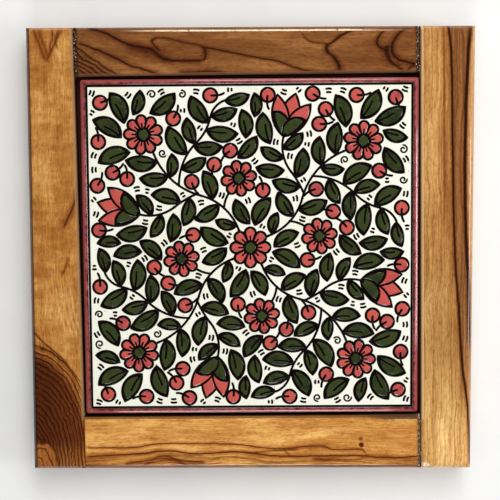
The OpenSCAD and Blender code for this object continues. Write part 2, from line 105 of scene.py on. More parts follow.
def planed(bevel, distance, soft=arris_r):
    """Depth of a chamfer of the given width at a distance from its edge: the positive part of
    width minus distance, with its corner rounded softly."""
    depth = bevel - distance
    return (depth + np.sqrt(depth * depth + soft * soft)) / 2


def grid_faces(rows, columns):
    """Quads of a grid whose points are numbered row by row."""
    corner = (np.arange(rows - 1)[:, None] * columns + np.arange(columns - 1)).ravel()
    return np.stack([corner, corner + 1, corner + columns + 1, corner + columns], 1)


def rim(number):
    """Numbers of the points round a grid, as a closed loop."""
    return np.concatenate([number[:, 0], number[-1, 1:], number[-2::-1, -1], number[0, -2:0:-1]])


def wall_faces(upper, lower):
    """Quads between two closed loops of points that lie above each other."""
    return np.stack([upper, np.roll(upper, -1), np.roll(lower, -1), lower], 1)


def made(name, points, faces, material, slot, *nodes, **layers):
    """One finished piece from points in millimetres and faces, with named values at its points, which
    rides on the trivet and stands for the given nodes of the frame. Points that coincide are merged
    and every face is turned outward."""
    mesh = bpy.data.meshes.new(name)
    mesh.from_pydata((points / 1000).tolist(), [], faces)
    mesh.materials.append(material)
    mesh.shade_smooth()
    for label, values in layers.items():
        mesh.attributes.new(label, "FLOAT", "POINT").data.foreach_set("value", values.astype(np.float32))
    shape = bmesh.new()
    shape.from_mesh(mesh)
    bmesh.ops.remove_doubles(shape, verts=shape.verts, dist=2e-7)
    bmesh.ops.recalc_face_normals(shape, faces=shape.faces)
    shape.to_mesh(mesh)
    shape.free()
    piece = bpy.data.objects.new(name, mesh)
    bpy.context.scene.collection.objects.link(piece)
    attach(piece, "root")
    if nodes:
        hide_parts(*nodes)


def stick(name, corners, bevels, rough, material, slot, stops=(), soft=arris_r):
    """A stick as a closed skin over its four corners in plan, given as outer start, outer end,
    inner end and inner start. Its face is lowered by the deepest chamfer at each place, its back
    is raised by the back chamfer and by the rebate for the board, and upright walls join them.
    bevels gives the chamfers of the outer edge, the far end, the inner edge and the near end, and
    rough says how ragged each one is, both as numbers or as functions of the place in plan. soft
    rounds the corner of the outer chamfer."""
    corners = np.array(corners, float)
    near_steps, pitch = [0.12, 0.18, 0.25, 0.3, 0.35, 0.4, 0.45, 0.5, 0.5], 0.8
    outer_run = corners[1] - corners[0]
    inner_run = corners[2] - corners[3]
    outer_length, inner_length = np.linalg.norm(outer_run), np.linalg.norm(inner_run)
    stations = spaced(outer_length, near_steps, pitch, stops)
    outer = corners[0] + outer_run / outer_length * stations[:, None]
    on_inner = stations / outer_length * inner_length
    inner = corners[3] + inner_run / inner_length * on_inner[:, None]
    width = np.linalg.norm(inner - outer, axis=1)
    share = spaced(width.mean(), near_steps, pitch) / width.mean()
    face_plan = outer[:, None] + (inner - outer)[:, None] * share[:, None]
    edges = list(zip(corners, np.roll(corners, -1, 0)))
    side = 1 if edge_distance(corners[3], *edges[0]) > 0 else -1
    bumps = partial(lumps, face_plan[..., 0], face_plan[..., 1])
    depth, ragged = np.zeros(face_plan.shape[:2]), np.zeros(face_plan.shape[:2])
    for number, (edge, *cut_so) in enumerate(zip(edges, bevels, rough)):
        distance = side * edge_distance(face_plan, *edge)
        bevel, coarse = (value(face_plan) if callable(value) else value for value in cut_so)
        chips = coarse * (bumps(1.1, 5 + number) + 0.6 * bumps(0.5, 15 + number) - 0.7)
        cut = planed(bevel + chips, distance, arris_r if number else soft)
        here = np.clip((bevel + 0.5 - distance) / 0.6, 0, 1) * np.clip(coarse * 2, 0, 1)
        ragged = np.maximum(ragged, here)
        cut += here * coarse * 0.35 * bumps(0.45, 25 + number)
        curl = np.clip(1 - distance / arris_r, 0, 1)
        depth = np.maximum(depth, cut + arris_r * curl * curl)
    depth += 0.05 * bumps(14, 40)
    face = np.concatenate([face_plan, (face_z - depth)[..., None]], 2)

    # The back: places up to the rebate's wall, and as many beyond it at the height of the pocket's
    # ceiling. Near the pocket's corners the wall follows their arc, and past them there is none.
    towards = side * np.array([-outer_run[1], outer_run[0]]) / outer_length
    reach = (pocket_mid - outer) @ towards - pocket_half
    past = np.abs((outer - pocket_mid) @ (outer_run / outer_length)) - (pocket_half - pocket_r)
    round_corner = pocket_r - np.sqrt(np.clip(pocket_r**2 - np.clip(past, 0, pocket_r)**2, 0, None))
    inside = past < pocket_r
    wall = np.clip(np.where(inside, reach + round_corner, width), width * 0.3, width - 0.5)
    split = len(share) // 2
    first = spaced(1.0, [0.03, 0.04], 0.1)
    first = np.interp(np.linspace(0, 1, split), np.linspace(0, 1, len(first)), first)
    second = np.linspace(0, 1, len(share) - split)
    across = np.concatenate([wall[:, None] * first, wall[:, None] + (width - wall)[:, None] * second], 1)
    back_plan = outer[:, None] + (inner - outer)[:, None] / width[:, None, None] * across[..., None]
    level = np.zeros(back_plan.shape[:2])
    for number in ((0, 1, 3) if len(stops) else (0,)):
        distance = side * edge_distance(back_plan, *edges[number])
        level = np.maximum(level, planed(back_bevel, distance))
    level[:, split:] = np.where(inside[:, None], pocket_ceiling - under_z, level[:, split:])
    back = np.concatenate([back_plan, (under_z + level)[..., None]], 2)

    # Both grids in one skin, with how ragged each place is and how near it lies to the tile's gap.
    points = np.concatenate([face.reshape(-1, 3), back.reshape(-1, 3)])
    to_gap = np.clip(1 - side * edge_distance(points, *edges[2]) / gap_reach, 0, 1)
    count = depth.size
    ring = rim(np.arange(count).reshape(depth.shape))
    plane = grid_faces(*depth.shape)
    faces = np.concatenate([plane, plane[:, ::-1] + count, wall_faces(ring, ring + count)[:, ::-1]])
    if side > 0:
        faces = faces[:, ::-1]
    ragged = np.concatenate([ragged.ravel(), np.zeros(count)])
    node = name.replace("_wood", "")
    made(name, points, faces.tolist(), material, slot, node, ragged=ragged, to_gap=to_gap)


class Finish:
    """A material put together step by step. Places are in millimetres on the object, and each sum,
    pattern or mix comes back as the socket that the next step reads."""

    def __init__(self, name):
        self.material = bpy.data.materials.new(name)
        self.material.use_nodes = True
        self.tree = self.material.node_tree
        self.shader = self.tree.nodes["Principled BSDF"]
        spot = self.add("ShaderNodeTexCoord").outputs["Object"]
        self.place = self.mapped(spot, (1000, 1000, 1000))
        self.x, self.y, self.z = self.add("ShaderNodeSeparateXYZ", self.place).outputs

    def add(self, kind, *values, **settings):
        """A node with its first inputs set to the given values or joined to the given sockets."""
        node = self.tree.nodes.new(kind)
        for key, value in settings.items():
            setattr(node, key, value)
        for socket, value in zip(node.inputs, values):
            self.feed(socket, value)
        return node

    def feed(self, socket, value):
        if isinstance(value, bpy.types.NodeSocket):
            self.tree.links.new(value, socket)
        elif value is not None:
            socket.default_value = value

    def fill(self, node, **values):
        """Sets the named inputs of a node, or joins them to the given sockets."""
        for key, value in values.items():
            self.feed(node.inputs[key.replace("_", " ")], value)
        return node.outputs[0]

    def set(self, **values):
        self.fill(self.shader, **values)

    def math(self, operation, *values):
        return self.add("ShaderNodeMath", *values, operation=operation).outputs[0]

    def times(self, first, second):
        return self.math("MULTIPLY", first, second)

    def layer(self, name):
        """The values that the mesh keeps under this name at its points."""
        return self.add("ShaderNodeAttribute", attribute_name=name).outputs["Fac"]

    def mapped(self, vector, scale, offset=None):
        return self.add("ShaderNodeMapping", vector, offset, None, scale).outputs[0]

    def joined(self, x, y, z):
        return self.add("ShaderNodeCombineXYZ", x, y, z).outputs[0]

    def noise(self, vector, scale, detail, roughness=0.5, distortion=0.0):
        return self.fill(self.add("ShaderNodeTexNoise", normalize=True), Vector=vector, Scale=scale,
                         Detail=detail, Roughness=roughness, Distortion=distortion)

    def between(self, value, low, high):
        """0 below low, 1 above high, eased between; low may be the larger one."""
        return self.add("ShaderNodeMapRange", value, low, high, 0.0, 1.0,
                        interpolation_type="SMOOTHSTEP").outputs[0]

    def mix(self, share, first, second, blend="MIX"):
        node = self.add("ShaderNodeMix", data_type="RGBA", blend_type=blend)
        for number, value in ((0, share), (6, first), (7, second)):
            self.feed(node.inputs[number], (*value, 1) if isinstance(value, tuple) else value)
        return node.outputs[2]

    def curve(self, value, points):
        """A smooth curve through the given points, read at the given value."""
        xs, ys = np.array(points, float).T
        low, high = ys.min() - 1, ys.max() + 1
        share = self.add("ShaderNodeMapRange", value, xs[0], xs[-1], 0.0, 1.0).outputs[0]
        node = self.add("ShaderNodeFloatCurve", 1.0, share)
        knots = node.mapping.curves[0].points
        while len(knots) < len(xs):
            knots.new(0.5, 0.5)
        for knot, x, y in zip(knots, (xs - xs[0]) / (xs[-1] - xs[0]), (ys - low) / (high - low)):
            knot.location = (x, y)
        node.mapping.update()
        return self.math("MULTIPLY_ADD", node.outputs[0], high - low, low)

    def raised(self, height, depth_mm, strength=1.0):
        """Bump of the given depth over the shader's normal."""
        self.set(Normal=self.fill(self.add("ShaderNodeBump"), Strength=strength, Distance=depth_mm / 1000,
                                  Height=height))


def srgb(red, green, blue):
    """A colour as the eye names it, from 0 to 255, as light intensities."""
    shares = np.array([red, green, blue]) / 255
    return tuple(np.where(shares < 0.04045, shares / 12.92, ((shares + 0.055) / 1.055)**2.4).tolist())


class OliveWood(Finish):
    """Varnished olive wood. Its fibres run along the stick, its colour drifts from pale to deep,
    and veins, rings and heartwood are laid over it one by one before the varnish."""

    def __init__(self, name, along, pale, middle, deep, seed):
        super().__init__(name)
        self.seed = seed
        self.a, self.c = (self.y, self.x) if along == "y" else (self.x, self.y)
        drift = self.noise(self.joined(self.a, self.c, seed), 0.035, 2.0)
        self.c_wavy = self.math("MULTIPLY_ADD", drift, 5.0, self.c)
        broad = self.noise(self.stretched(0.022, 0.11, 0.1), 1.0, 3.0, 0.55)
        colour = self.mix(self.between(broad, 0.35, 0.62), deep, middle)
        self.colour = self.mix(self.between(broad, 0.5, 0.72), colour, pale)

    def stretched(self, along, across, through):
        """The place with the stick's three directions scaled apart, so that patterns follow its fibres."""
        return self.joined(self.math("MULTIPLY_ADD", self.a, along, self.seed),
                           self.times(self.c_wavy, across), self.times(self.z, through))

    def tint(self, share, colour, strength):
        """Lays a colour over the wood where share is above 0."""
        self.colour = self.mix(self.times(share, strength), self.colour, colour)

    def shade(self, share, colour, strength=1.0):
        """Darkens the wood by a see-through stain where share is above 0."""
        self.colour = self.mix(self.times(share, strength), self.colour, colour, "MULTIPLY")

    def vein(self, points, width, fade=3.0, wobble=1.2, across=False):
        """Share of a thin vein through points that give the place along the stick and across it, or
        the other way round. Its half-width falls off smoothly and its ends fade out."""
        run, other = (self.c, self.a) if across else (self.a, self.c)
        low, high = points[0][0], points[-1][0]
        shaky = self.noise(self.joined(run, points[0][1], self.seed + low), 0.22, 3.0, 0.6)
        centre = self.math("MULTIPLY_ADD", shaky, wobble, self.curve(run, points))
        off = self.math("ABSOLUTE", self.math("SUBTRACT", self.math("ADD", other, wobble / 2), centre))
        line = self.between(off, width, width * 0.35)
        ends = self.times(self.between(run, low - fade / 2, low + fade / 2),
                          self.between(run, high + fade / 2, high - fade / 2))
        return self.times(line, ends)

    def grown(self, points, width, colour, strength=0.85, stain=3.0, **how):
        """A vein with a soft stain round it."""
        self.shade(self.vein(points, width * stain, **how), srgb(190, 146, 106), 0.6)
        self.tint(self.vein(points, width, **how), colour, strength)

    def paint_chamfer_shade(self, edge, colour):
        """Darkens the chamfer of the low outer edge with painted shade, but not the side of the stick below
        it.
        """
        near_edge = self.between(self.c, edge + 2.0, edge + 1.5)
        self.shade(self.times(near_edge, self.between(self.z, face_z - 2.4, face_z - 2.0)), colour)

    def spot(self, middle, size, ragged):
        """Share of a round spot with an uneven edge."""
        away = self.add("ShaderNodeVectorMath", self.joined(self.x, self.y, 0.0), (*middle, 0),
                        operation="DISTANCE")
        uneven = self.noise(self.place, 0.9, 2.0, 0.6)
        return self.between(self.math("MULTIPLY_ADD", uneven, size * ragged * 2, away.outputs["Value"]),
                            size * (1 + ragged), size * (0.6 + ragged))

    def distance(self, middle, squash):
        """How far a place lies from a middle, with its part across the stick times the squash."""
        da = self.math("SUBTRACT", self.a, middle[0])
        dc = self.times(self.math("SUBTRACT", self.c, middle[1]), squash)
        return self.math("SQRT", self.math("MULTIPLY_ADD", da, da, self.times(dc, dc)))

    def rings(self, radius, pitch, wobble, sharp):
        """Late wood of growth rings at a distance from their middle: a share that climbs over each
        ring and drops behind it."""
        shaky = self.noise(self.joined(self.a, self.c, self.seed), 0.09, 3.0, 0.55)
        saw = self.math("DIVIDE", self.math("MULTIPLY_ADD", shaky, wobble, radius), pitch)
        saw = self.math("FRACT", saw)
        return self.times(self.between(saw, sharp, 0.97), self.between(saw, 1.0, 0.97))

    def varnished(self, rough_colour, chamfer_colour, wall_colour):
        """Fibres and pores, the inner chamfer and the wall below it, painted shade deep in the gap, grime
        and painted glints in ragged chamfers, and varnish."""
        streaks = self.noise(self.stretched(0.05, 1.7, 1.7), 1.0, 4.0, 0.6)
        short = self.noise(self.stretched(0.4, 1.05, 1.05), 1.0, 2.0, 0.75)
        fine = self.noise(self.stretched(0.16, 6.0, 6.0), 1.0, 2.0, 0.6)
        pores = self.noise(self.stretched(0.35, 7.5, 7.5), 1.0, 1.0, 0.5)
        for fibres, low, high, stain, strength in (
                (streaks, 0.62, 0.36, srgb(205, 165, 120), 0.4),
                (streaks, 0.56, 0.75, (1.28, 1.24, 1.16), 0.5),
                (short, 0.48, 0.34, srgb(204, 170, 138), 0.5),
                (short, 0.54, 0.68, (1.3, 1.27, 1.22), 0.55),
                (fine, 0.55, 0.3, srgb(190, 150, 110), 0.35),
                (pores, 0.36, 0.25, srgb(120, 75, 45), 0.5)):
            self.shade(self.between(fibres, low, high), stain, strength)
        worn, to_gap = self.layer("ragged"), self.layer("to_gap")
        crumbs = self.noise(self.place, 1.6, 3.0, 0.7)
        beside_tile = self.between(self.a, *beyond_joint)
        self.tint(self.times(self.between(to_gap, 0.45, 0.55), beside_tile), chamfer_colour, 0.7)
        wall = self.between(to_gap, 0.94, 0.97)
        self.tint(wall, wall_colour, 0.9)
        # Painted shade: the wall is coloured near black deep in the gap, where shade falls.
        deep = self.between(self.z, face_z - 4.5, face_z - 7.0)
        self.tint(self.times(wall, deep), srgb(34, 14, 8), 0.98)
        self.tint(self.times(worn, self.between(crumbs, 0.15, 0.4)), rough_colour, 0.95)
        # Painted glints: pale specks in the ragged chamfers stand for the shine of varnish on rough end
        # grain.
        painted_glints = self.between(self.noise(self.place, 1.5, 1.0), 0.62, 0.68)
        self.tint(self.times(self.between(worn, 0.7, 0.9), painted_glints), srgb(242, 228, 206), 0.9)
        dull = self.math("MAXIMUM", worn, self.between(to_gap, 0.2, 0.4))
        self.set(Base_Color=self.colour, Specular_IOR_Level=0.05, Coat_Roughness=0.1, Coat_IOR=1.55,
                 Coat_Weight=self.math("MULTIPLY_ADD", dull, -0.95, 1.0),
                 Roughness=self.add("ShaderNodeMapRange", streaks, 0.3, 0.7, 0.6, 0.45).outputs[0])
        grain = self.math("MULTIPLY_ADD", fine, 0.6, streaks)
        self.raised(self.math("MULTIPLY_ADD", self.times(worn, crumbs), 4.0, grain), 0.05, 0.6)
        return self.material


wood = OliveWood("left_stile_olive", "y", srgb(218, 170, 98), srgb(204, 152, 80), srgb(186, 132, 64), 3.0)
flames = wood.noise(wood.stretched(0.3, 0.09, 0.08), 1.0, 4.0, 0.65)
wood.shade(wood.between(flames, 0.62, 0.34), srgb(206, 168, 128), 0.4)
wood.tint(wood.between(flames, 0.52, 0.74), srgb(226, 182, 116), 0.3)
blotches = wood.noise(wood.place, 0.07, 3.0, 0.6, 0.6)
wood.shade(wood.between(blotches, 0.58, 0.38), srgb(206, 170, 130), 0.45)
dark_vein = srgb(74, 34, 10)
for strand, width in (
        ([(85.5, -91.4), (89.0, -92.6), (93.0, -94.0), (98.6, -96.2)], 0.6),
        ([(85.0, -90.6), (88.5, -89.0), (92.0, -87.2), (98.6, -84.2)], 0.6),
        ([(87.5, -90.6), (91.0, -91.2), (95.0, -92.8), (98.6, -93.8)], 0.5),
        ([(89.0, -88.6), (92.0, -88.9), (95.0, -87.8), (98.6, -87.9)], 0.5),
        ([(90.5, -85.9), (94.0, -86.3), (98.6, -85.4)], 0.4)):
    wood.grown(strand, width, srgb(104, 54, 18), wobble=0.8)
wood.grown([(11.0, -84.2), (14.0, -82.9), (20.0, -80.0), (25.0, -78.4), (31.0, -76.8)], 0.9, dark_vein,
           wobble=0.8)
wood.grown([(-11.0, -85.6), (-6.5, -83.6), (-2.5, -82.5)], 0.45, dark_vein, 0.5)
for shift in (-4.5, -2.2, 0.0, 2.0):
    pale_strand = [(-38.0, -79.0 + shift), (-26.0, -82.5 + shift), (-16.0, -84.0 + shift)]
    wood.tint(wood.vein(pale_strand, 0.7), srgb(236, 196, 130), 0.32)

to_heart = wood.distance((-97.0, -103.0), 1.75)
ring = wood.rings(to_heart, 2.7, 7.0, 0.45)
fine_ring = wood.rings(to_heart, 1.5, 5.0, 0.5)
inside = wood.between(to_heart, 58.0, 55.5)
deep = wood.times(wood.between(to_heart, 53.5, 47.0), wood.between(wood.a, -101.0, -84.0))
wood.tint(inside, srgb(164, 98, 40), 0.75)
wood.tint(deep, srgb(104, 48, 12), 0.92)
wood.tint(wood.times(deep, wood.between(wood.c, -80.0, -94.0)), srgb(66, 24, 4), 0.6)
uneven = wood.between(wood.noise(wood.place, 0.16, 2.0, 0.6), 0.3, 0.48)
wood.tint(wood.times(inside, fine_ring), srgb(70, 28, 6), 0.6)
wood.tint(wood.times(inside, ring), srgb(60, 24, 6), 0.65)
wood.tint(wood.times(wood.times(inside, ring), uneven), srgb(34, 10, 2), 0.85)
wood.grown([(-99.5, -36.0), (-92.6, -42.9), (-87.0, -47.8), (-82.6, -53.2), (-77.5, -60.0)], 0.55, dark_vein,
           across=True)
to_corner = wood.distance((-102.0, -101.0), 1.3)
jagged = wood.math("MULTIPLY_ADD", wood.noise(wood.place, 0.14, 1.5, 0.5), 12.0, to_corner)
wood.tint(wood.between(jagged, 23.4, 22.6), srgb(60, 24, 6), 0.7)
wood.tint(wood.between(jagged, 22.4, 20.4), srgb(166, 102, 46), 0.9)
for reach in (19.0, 13.4):
    zigzag = wood.times(wood.between(jagged, reach, reach - 0.4),
                        wood.between(jagged, reach - 1.3, reach - 0.8))
    wood.tint(zigzag, srgb(74, 32, 8), 0.85)
# Painted shade on the left stile's outer chamfer.
wood.paint_chamfer_shade(outer_low[0], srgb(130, 106, 84))

left_x, right_x = outer_low[0], outer_high[0]
low_y, high_y = outer_low[1], outer_high[1]
stops = [pocket_mid[1] + end * (pocket_half + step) - low_y for end in (-1, 1) for step in (-0.01, 0.01)]
left_corners = [(left_x, low_y), (left_x, high_y), (left_x + left_top_w, high_y),
                (left_x + left_bottom_w, low_y)]
stile_bevels = (outer_bevel, outer_bevel, inner_bevel, outer_bevel)
stick("left_stile_wood", left_corners, stile_bevels, (0, 0, 0, 0),
      wood.varnished(srgb(40, 18, 6), srgb(140, 112, 82), srgb(164, 116, 76)), "left_stile_wood", stops)

# Right stile: the palest stick, straight-grained, with two long dark veins near its outer edge.
# Same making as the left one, tapered the other way.
right_top_w, right_bottom_w = 24.3, 22.4
wood = OliveWood("right_stile_olive", "y", srgb(228, 188, 122), srgb(213, 172, 106), srgb(194, 149, 86), 11.0)
long_streaks = wood.noise(wood.stretched(0.01, 0.9, 0.5), 1.0, 3.0, 0.6)
wood.shade(wood.between(long_streaks, 0.54, 0.36), srgb(186, 142, 96), 0.5)
first_line = [(-98.3, 99.9), (-72.3, 98.2), (-50.7, 95.4), (-28.8, 93.8), (0.2, 91.6), (48.0, 90.1),
              (82.9, 89.3), (99.5, 87.8)]
second_line = [(-42.0, 98.5), (-14.3, 97.9), (0.2, 96.8), (26.6, 95.9), (48.0, 95.7), (82.9, 96.4),
               (99.0, 97.6)]
beyond = wood.math("SUBTRACT", wood.c, wood.curve(wood.a, first_line))
outside = wood.math("SUBTRACT", wood.c, wood.curve(wood.a, second_line))
dusky = wood.between(wood.a, -70.0, 20.0)
wood.shade(wood.between(beyond, -7.0, 0.0), srgb(214, 178, 136), 0.6)
wood.tint(wood.between(beyond, -0.6, 0.4), srgb(184, 134, 84), 0.8)
wood.tint(wood.times(wood.between(beyond, -0.6, 0.4), dusky), srgb(146, 100, 56), 0.6)
strips = wood.noise(wood.stretched(0.008, 1.5, 1.0), 1.0, 2.0, 0.6)
strips = wood.times(wood.between(strips, 0.52, 0.64), wood.between(beyond, -2.5, 0.5))
wood.tint(strips, srgb(88, 50, 22), 0.5)
wood.shade(dusky, srgb(232, 216, 204), 0.8)
below_middle = wood.times(wood.between(wood.a, 4.0, -14.0), wood.between(wood.a, -64.0, -48.0))
wood.shade(below_middle, srgb(234, 230, 224), 1.0)
wood.shade(wood.between(wood.a, -56.0, -94.0), (1.3, 1.38, 1.5), 1.0)
wood.tint(wood.between(outside, 0.6, 1.4), srgb(204, 156, 102), 0.85)
wood.grown([(10.0, 86.8), (48.0, 86.5), (82.9, 86.0), (99.0, 85.6)], 0.5, srgb(124, 80, 40), 0.6, 1.6,
           fade=30.0, wobble=0.6)
wood.grown(first_line, 0.75, srgb(44, 16, 4), 0.95, 2.0, fade=0.5, wobble=0.5)
wood.grown(second_line, 1.0, srgb(36, 12, 2), 0.95, 2.0, fade=14.0, wobble=0.5)
for chip, size in (((77.4, -97.8), 1.3), ((79.0, -97.9), 1.2), ((80.6, -98.3), 0.8)):
    wood.tint(wood.spot(chip, size, 0.9), srgb(246, 240, 226), 0.95)
right_corners = [(right_x, high_y), (right_x, low_y), (right_x - right_bottom_w, low_y),
                 (right_x - right_top_w, high_y)]
stick("right_stile_wood", right_corners, stile_bevels, (0, 0, 0, 0),
      wood.varnished(srgb(40, 18, 6), srgb(238, 200, 144), srgb(226, 178, 126)), "right_stile_wood",
      stops[::-1])

# Top rail: mid-brown figured wood, butted between the stiles with ragged, grimy end chamfers.
# It is doweled and glued to the stiles, and its rebate runs out at both ends.
top_left_w, top_right_w = 21.8, 20.2
top_left_bevel, top_right_bevel = 1.9, 2.2
joint_gap, stile_share = 0.05, 0.11


def left_inner(y):
    """Place of the left stile's inner edge at a height in plan: a straight line between its ends."""
    return left_x + left_bottom_w + (left_top_w - left_bottom_w) * (y - low_y) / (high_y - low_y)


def right_inner(y):
    """The same for the right stile."""
    return right_x - right_bottom_w - (right_top_w - right_bottom_w) * (y - low_y) / (high_y - low_y)


def rail_corners(outer_y, left_w, right_w, inward):
    """Outer left, outer right, inner right and inner left corner of a rail, a glue line off the
    stiles. Its widths are given at the frame's sides, and the inner edge is read where it meets the
    stiles. inward is 1 or -1, the way from the outer edge to the tile."""
    taper = (right_w - left_w) * stile_share
    left_y, right_y = outer_y + inward * (left_w + taper), outer_y + inward * (right_w - taper)
    return [(left_inner(outer_y) + joint_gap, outer_y), (right_inner(outer_y) - joint_gap, outer_y),
            (right_inner(right_y) - joint_gap, right_y), (left_inner(left_y) + joint_gap, left_y)]


wood = OliveWood("top_rail_olive", "x", srgb(164, 112, 64), srgb(144, 96, 52), srgb(122, 76, 38), 23.0)
dark_vein = srgb(40, 16, 4)
wood.grown([(-54.0, 90.6), (-50.0, 90.0), (-45.0, 88.8), (-41.0, 87.2), (-36.0, 85.6)], 1.5,
           srgb(78, 44, 22), 0.6, fade=8.0, wobble=0.5)
for route, width, strength in (
        ([(-72.1, 99.4), (-65.0, 97.5), (-60.0, 95.0), (-55.1, 92.6), (-48.8, 91.0), (-44.2, 90.0),
          (-40.5, 87.2), (-36.5, 85.4), (-31.2, 85.0), (-21.3, 85.0)], 0.9, 0.9),
        ([(-76.3, 92.7), (-67.6, 89.8), (-62.9, 87.6), (-58.3, 85.5), (-53.7, 83.0), (-49.0, 81.7),
          (-44.3, 80.2), (-39.6, 78.3)], 0.8, 0.85),
        ([(-44.3, 94.0), (-40.3, 95.1), (-31.4, 93.5), (-20.7, 91.3)], 0.5, 0.6),
        ([(-31.4, 80.1), (-26.9, 79.7), (-18.0, 80.1), (-10.2, 78.8)], 0.6, 0.8),
        ([(23.3, 96.7), (26.1, 93.5), (34.5, 92.3)], 0.5, 0.6),
        ([(57.6, 90.0), (59.9, 89.2)], 0.7, 0.8),
        ([(64.3, 86.0), (66.0, 84.8), (68.7, 84.1), (72.1, 83.3), (74.0, 83.0)], 0.8, 0.9),
        ([(64.7, 82.2), (67.0, 80.7), (69.0, 79.4)], 0.9, 0.8),
        ([(-20.8, 90.8), (-11.3, 89.1), (-0.1, 86.8), (12.1, 84.6), (20.0, 81.7), (30.0, 79.7),
          (37.8, 79.5)], 0.5, 0.85)):
    wood.grown(route, width, dark_vein, strength, wobble=1.0)
wood.grown([(80.1, 39.5), (83.3, 38.9), (86.2, 37.3), (88.4, 34.5), (90.6, 33.8), (92.9, 36.7), (96.2, 41.2),
            (98.9, 50.1)], 1.3, dark_vein, 0.9, 2.5, across=True, wobble=2.0)
for route, width in (
        ([(85.0, -20.6), (88.0, -19.9), (91.0, -20.6)], 0.9),
        ([(89.2, -40.2), (91.5, -42.3), (93.4, -43.6), (94.8, -42.0)], 0.6),
        ([(90.0, 57.4), (91.5, 56.4), (93.2, 56.1), (95.5, 57.1), (97.5, 59.0)], 0.8),
        ([(82.2, 64.7), (83.8, 62.8), (85.0, 61.8), (86.9, 60.8), (88.9, 60.3), (91.2, 60.7)], 1.5),
        ([(85.6, 64.6), (88.2, 63.2), (90.6, 62.8), (92.9, 63.4), (94.7, 64.6), (97.0, 66.4),
          (98.7, 69.8)], 1.0),
        ([(79.9, 69.5), (81.1, 70.7), (82.8, 72.9)], 0.6)):
    wood.grown(route, width, dark_vein, 0.85, across=True, fade=1.0, wobble=0.8)
slant = wood.math("MULTIPLY_ADD", wood.a, 0.62, wood.c_wavy)
slant = wood.math("MULTIPLY_ADD", wood.noise(wood.place, 0.12, 3.0, 0.6), 5.0, slant)
stripe = wood.math("FRACT", wood.math("DIVIDE", slant, 2.3))
stripe = wood.times(wood.between(stripe, 0.2, 0.8), wood.between(stripe, 1.0, 0.88))
corner = wood.times(wood.between(slant, 50.6, 47.0), wood.between(wood.a, -52.0, -60.0))
wood.tint(corner, srgb(98, 54, 22), 0.6)
wood.tint(wood.times(stripe, corner), srgb(34, 12, 2), 0.85)
wood.shade(wood.between(wood.a, 30.0, 60.0), srgb(226, 212, 204), 0.7)
# Painted highlight: a pale broken line along the outer arris stands for the shine of the varnish there.
along_arris = wood.math("ABSOLUTE", wood.math("SUBTRACT", wood.c, outer_high[1] - 1.75))
painted_arris_highlight = wood.times(wood.between(along_arris, 0.55, 0.2),
                          wood.between(wood.math("ABSOLUTE", wood.a), 60.0, 40.0))
patchy = wood.noise(wood.joined(wood.a, 0.0, 5.0), 0.35, 3.0, 0.7)
wood.tint(wood.times(painted_arris_highlight, wood.between(patchy, 0.3, 0.45)), srgb(250, 234, 196), 0.9)
corners = rail_corners(high_y, top_left_w, top_right_w, -1)
stick("top_rail_wood", [corners[1], corners[0], corners[3], corners[2]],
      (outer_bevel, top_left_bevel, inner_bevel, top_right_bevel), (0, 0.5, 0, 0.5),
      wood.varnished(srgb(52, 30, 18), srgb(116, 80, 54), srgb(150, 106, 72)), "top_rail_wood", soft=0.9)

# Bottom rail: golden tan with thin wavy veins along its lower half, two small knots, and a waney
# stretch at the right end of its inner edge. Doweled and glued like the top rail.
bottom_left_w, bottom_right_w = 24.0, 25.0
bottom_left_bevel, bottom_right_bevel = 0.3, 1.8
wane_length, wane_run, wane_bevel, wane_ragged = 30.0, 14, 1.6, 0.35


def wane(plan):
    """How far the wane has set in: 0 before its stretch at the right end of the rail, and 1 in it."""
    return np.clip((plan[..., 0] - right_inner(low_y) + wane_length) / wane_run, 0, 1)


def waney(plan):
    """Chamfer of the inner edge: the plain one, which swells to the wane over its last stretch."""
    return inner_bevel + (wane_bevel - inner_bevel) * wane(plan)


wood = OliveWood("bottom_rail_olive", "x", srgb(238, 188, 108), srgb(224, 168, 90), srgb(204, 146, 72), 37.0)
clouds = wood.noise(wood.stretched(0.07, 0.2, 0.1), 1.0, 4.0, 0.65)
wood.shade(wood.between(clouds, 0.58, 0.38), srgb(204, 162, 116), 0.5)
upper_line = [(-75.4, -89.9), (-54.8, -89.9), (-43.3, -88.2), (-31.5, -88.0), (-10.0, -88.3), (13.3, -90.5),
              (29.7, -89.3), (39.3, -91.1), (48.3, -90.8), (52.3, -93.8)]
lower_line = [(-75.5, -94.1), (-48.4, -92.4), (-38.8, -91.5), (-25.1, -92.8), (-7.7, -92.0), (13.3, -94.0),
              (48.0, -93.8), (59.9, -94.7), (76.3, -94.1)]
below = wood.math("SUBTRACT", wood.curve(wood.a, lower_line), wood.c)
sash = wood.noise(wood.joined(wood.times(wood.a, 0.05), below, 9.0), 1.2, 2.0, 0.6)
sash = wood.times(wood.between(sash, 0.46, 0.6), wood.between(below, -0.3, 0.8))
wood.tint(sash, srgb(132, 76, 28), 0.75)
for route, width, strength in (
        (upper_line, 0.5, 0.9), (lower_line, 0.65, 0.95),
        ([(-2.5, -92.6), (2.8, -92.0), (7.4, -91.6), (21.1, -90.9)], 0.35, 0.8),
        ([(14.5, -91.0), (16.0, -92.4), (17.5, -93.8)], 0.35, 0.7),
        ([(-58.0, -97.4), (-46.6, -95.6), (-39.7, -93.8), (-32.9, -96.1), (-22.0, -96.4)], 0.7, 0.8),
        ([(-50.0, -98.2), (-43.0, -96.4), (-38.5, -95.8), (-30.0, -98.2)], 0.5, 0.7),
        ([(28.0, -95.2), (38.0, -95.9), (50.0, -95.6)], 0.4, 0.6)):
    wood.grown(route, 0.8 * width, srgb(82, 38, 10), strength, 3.6, wobble=0.7)
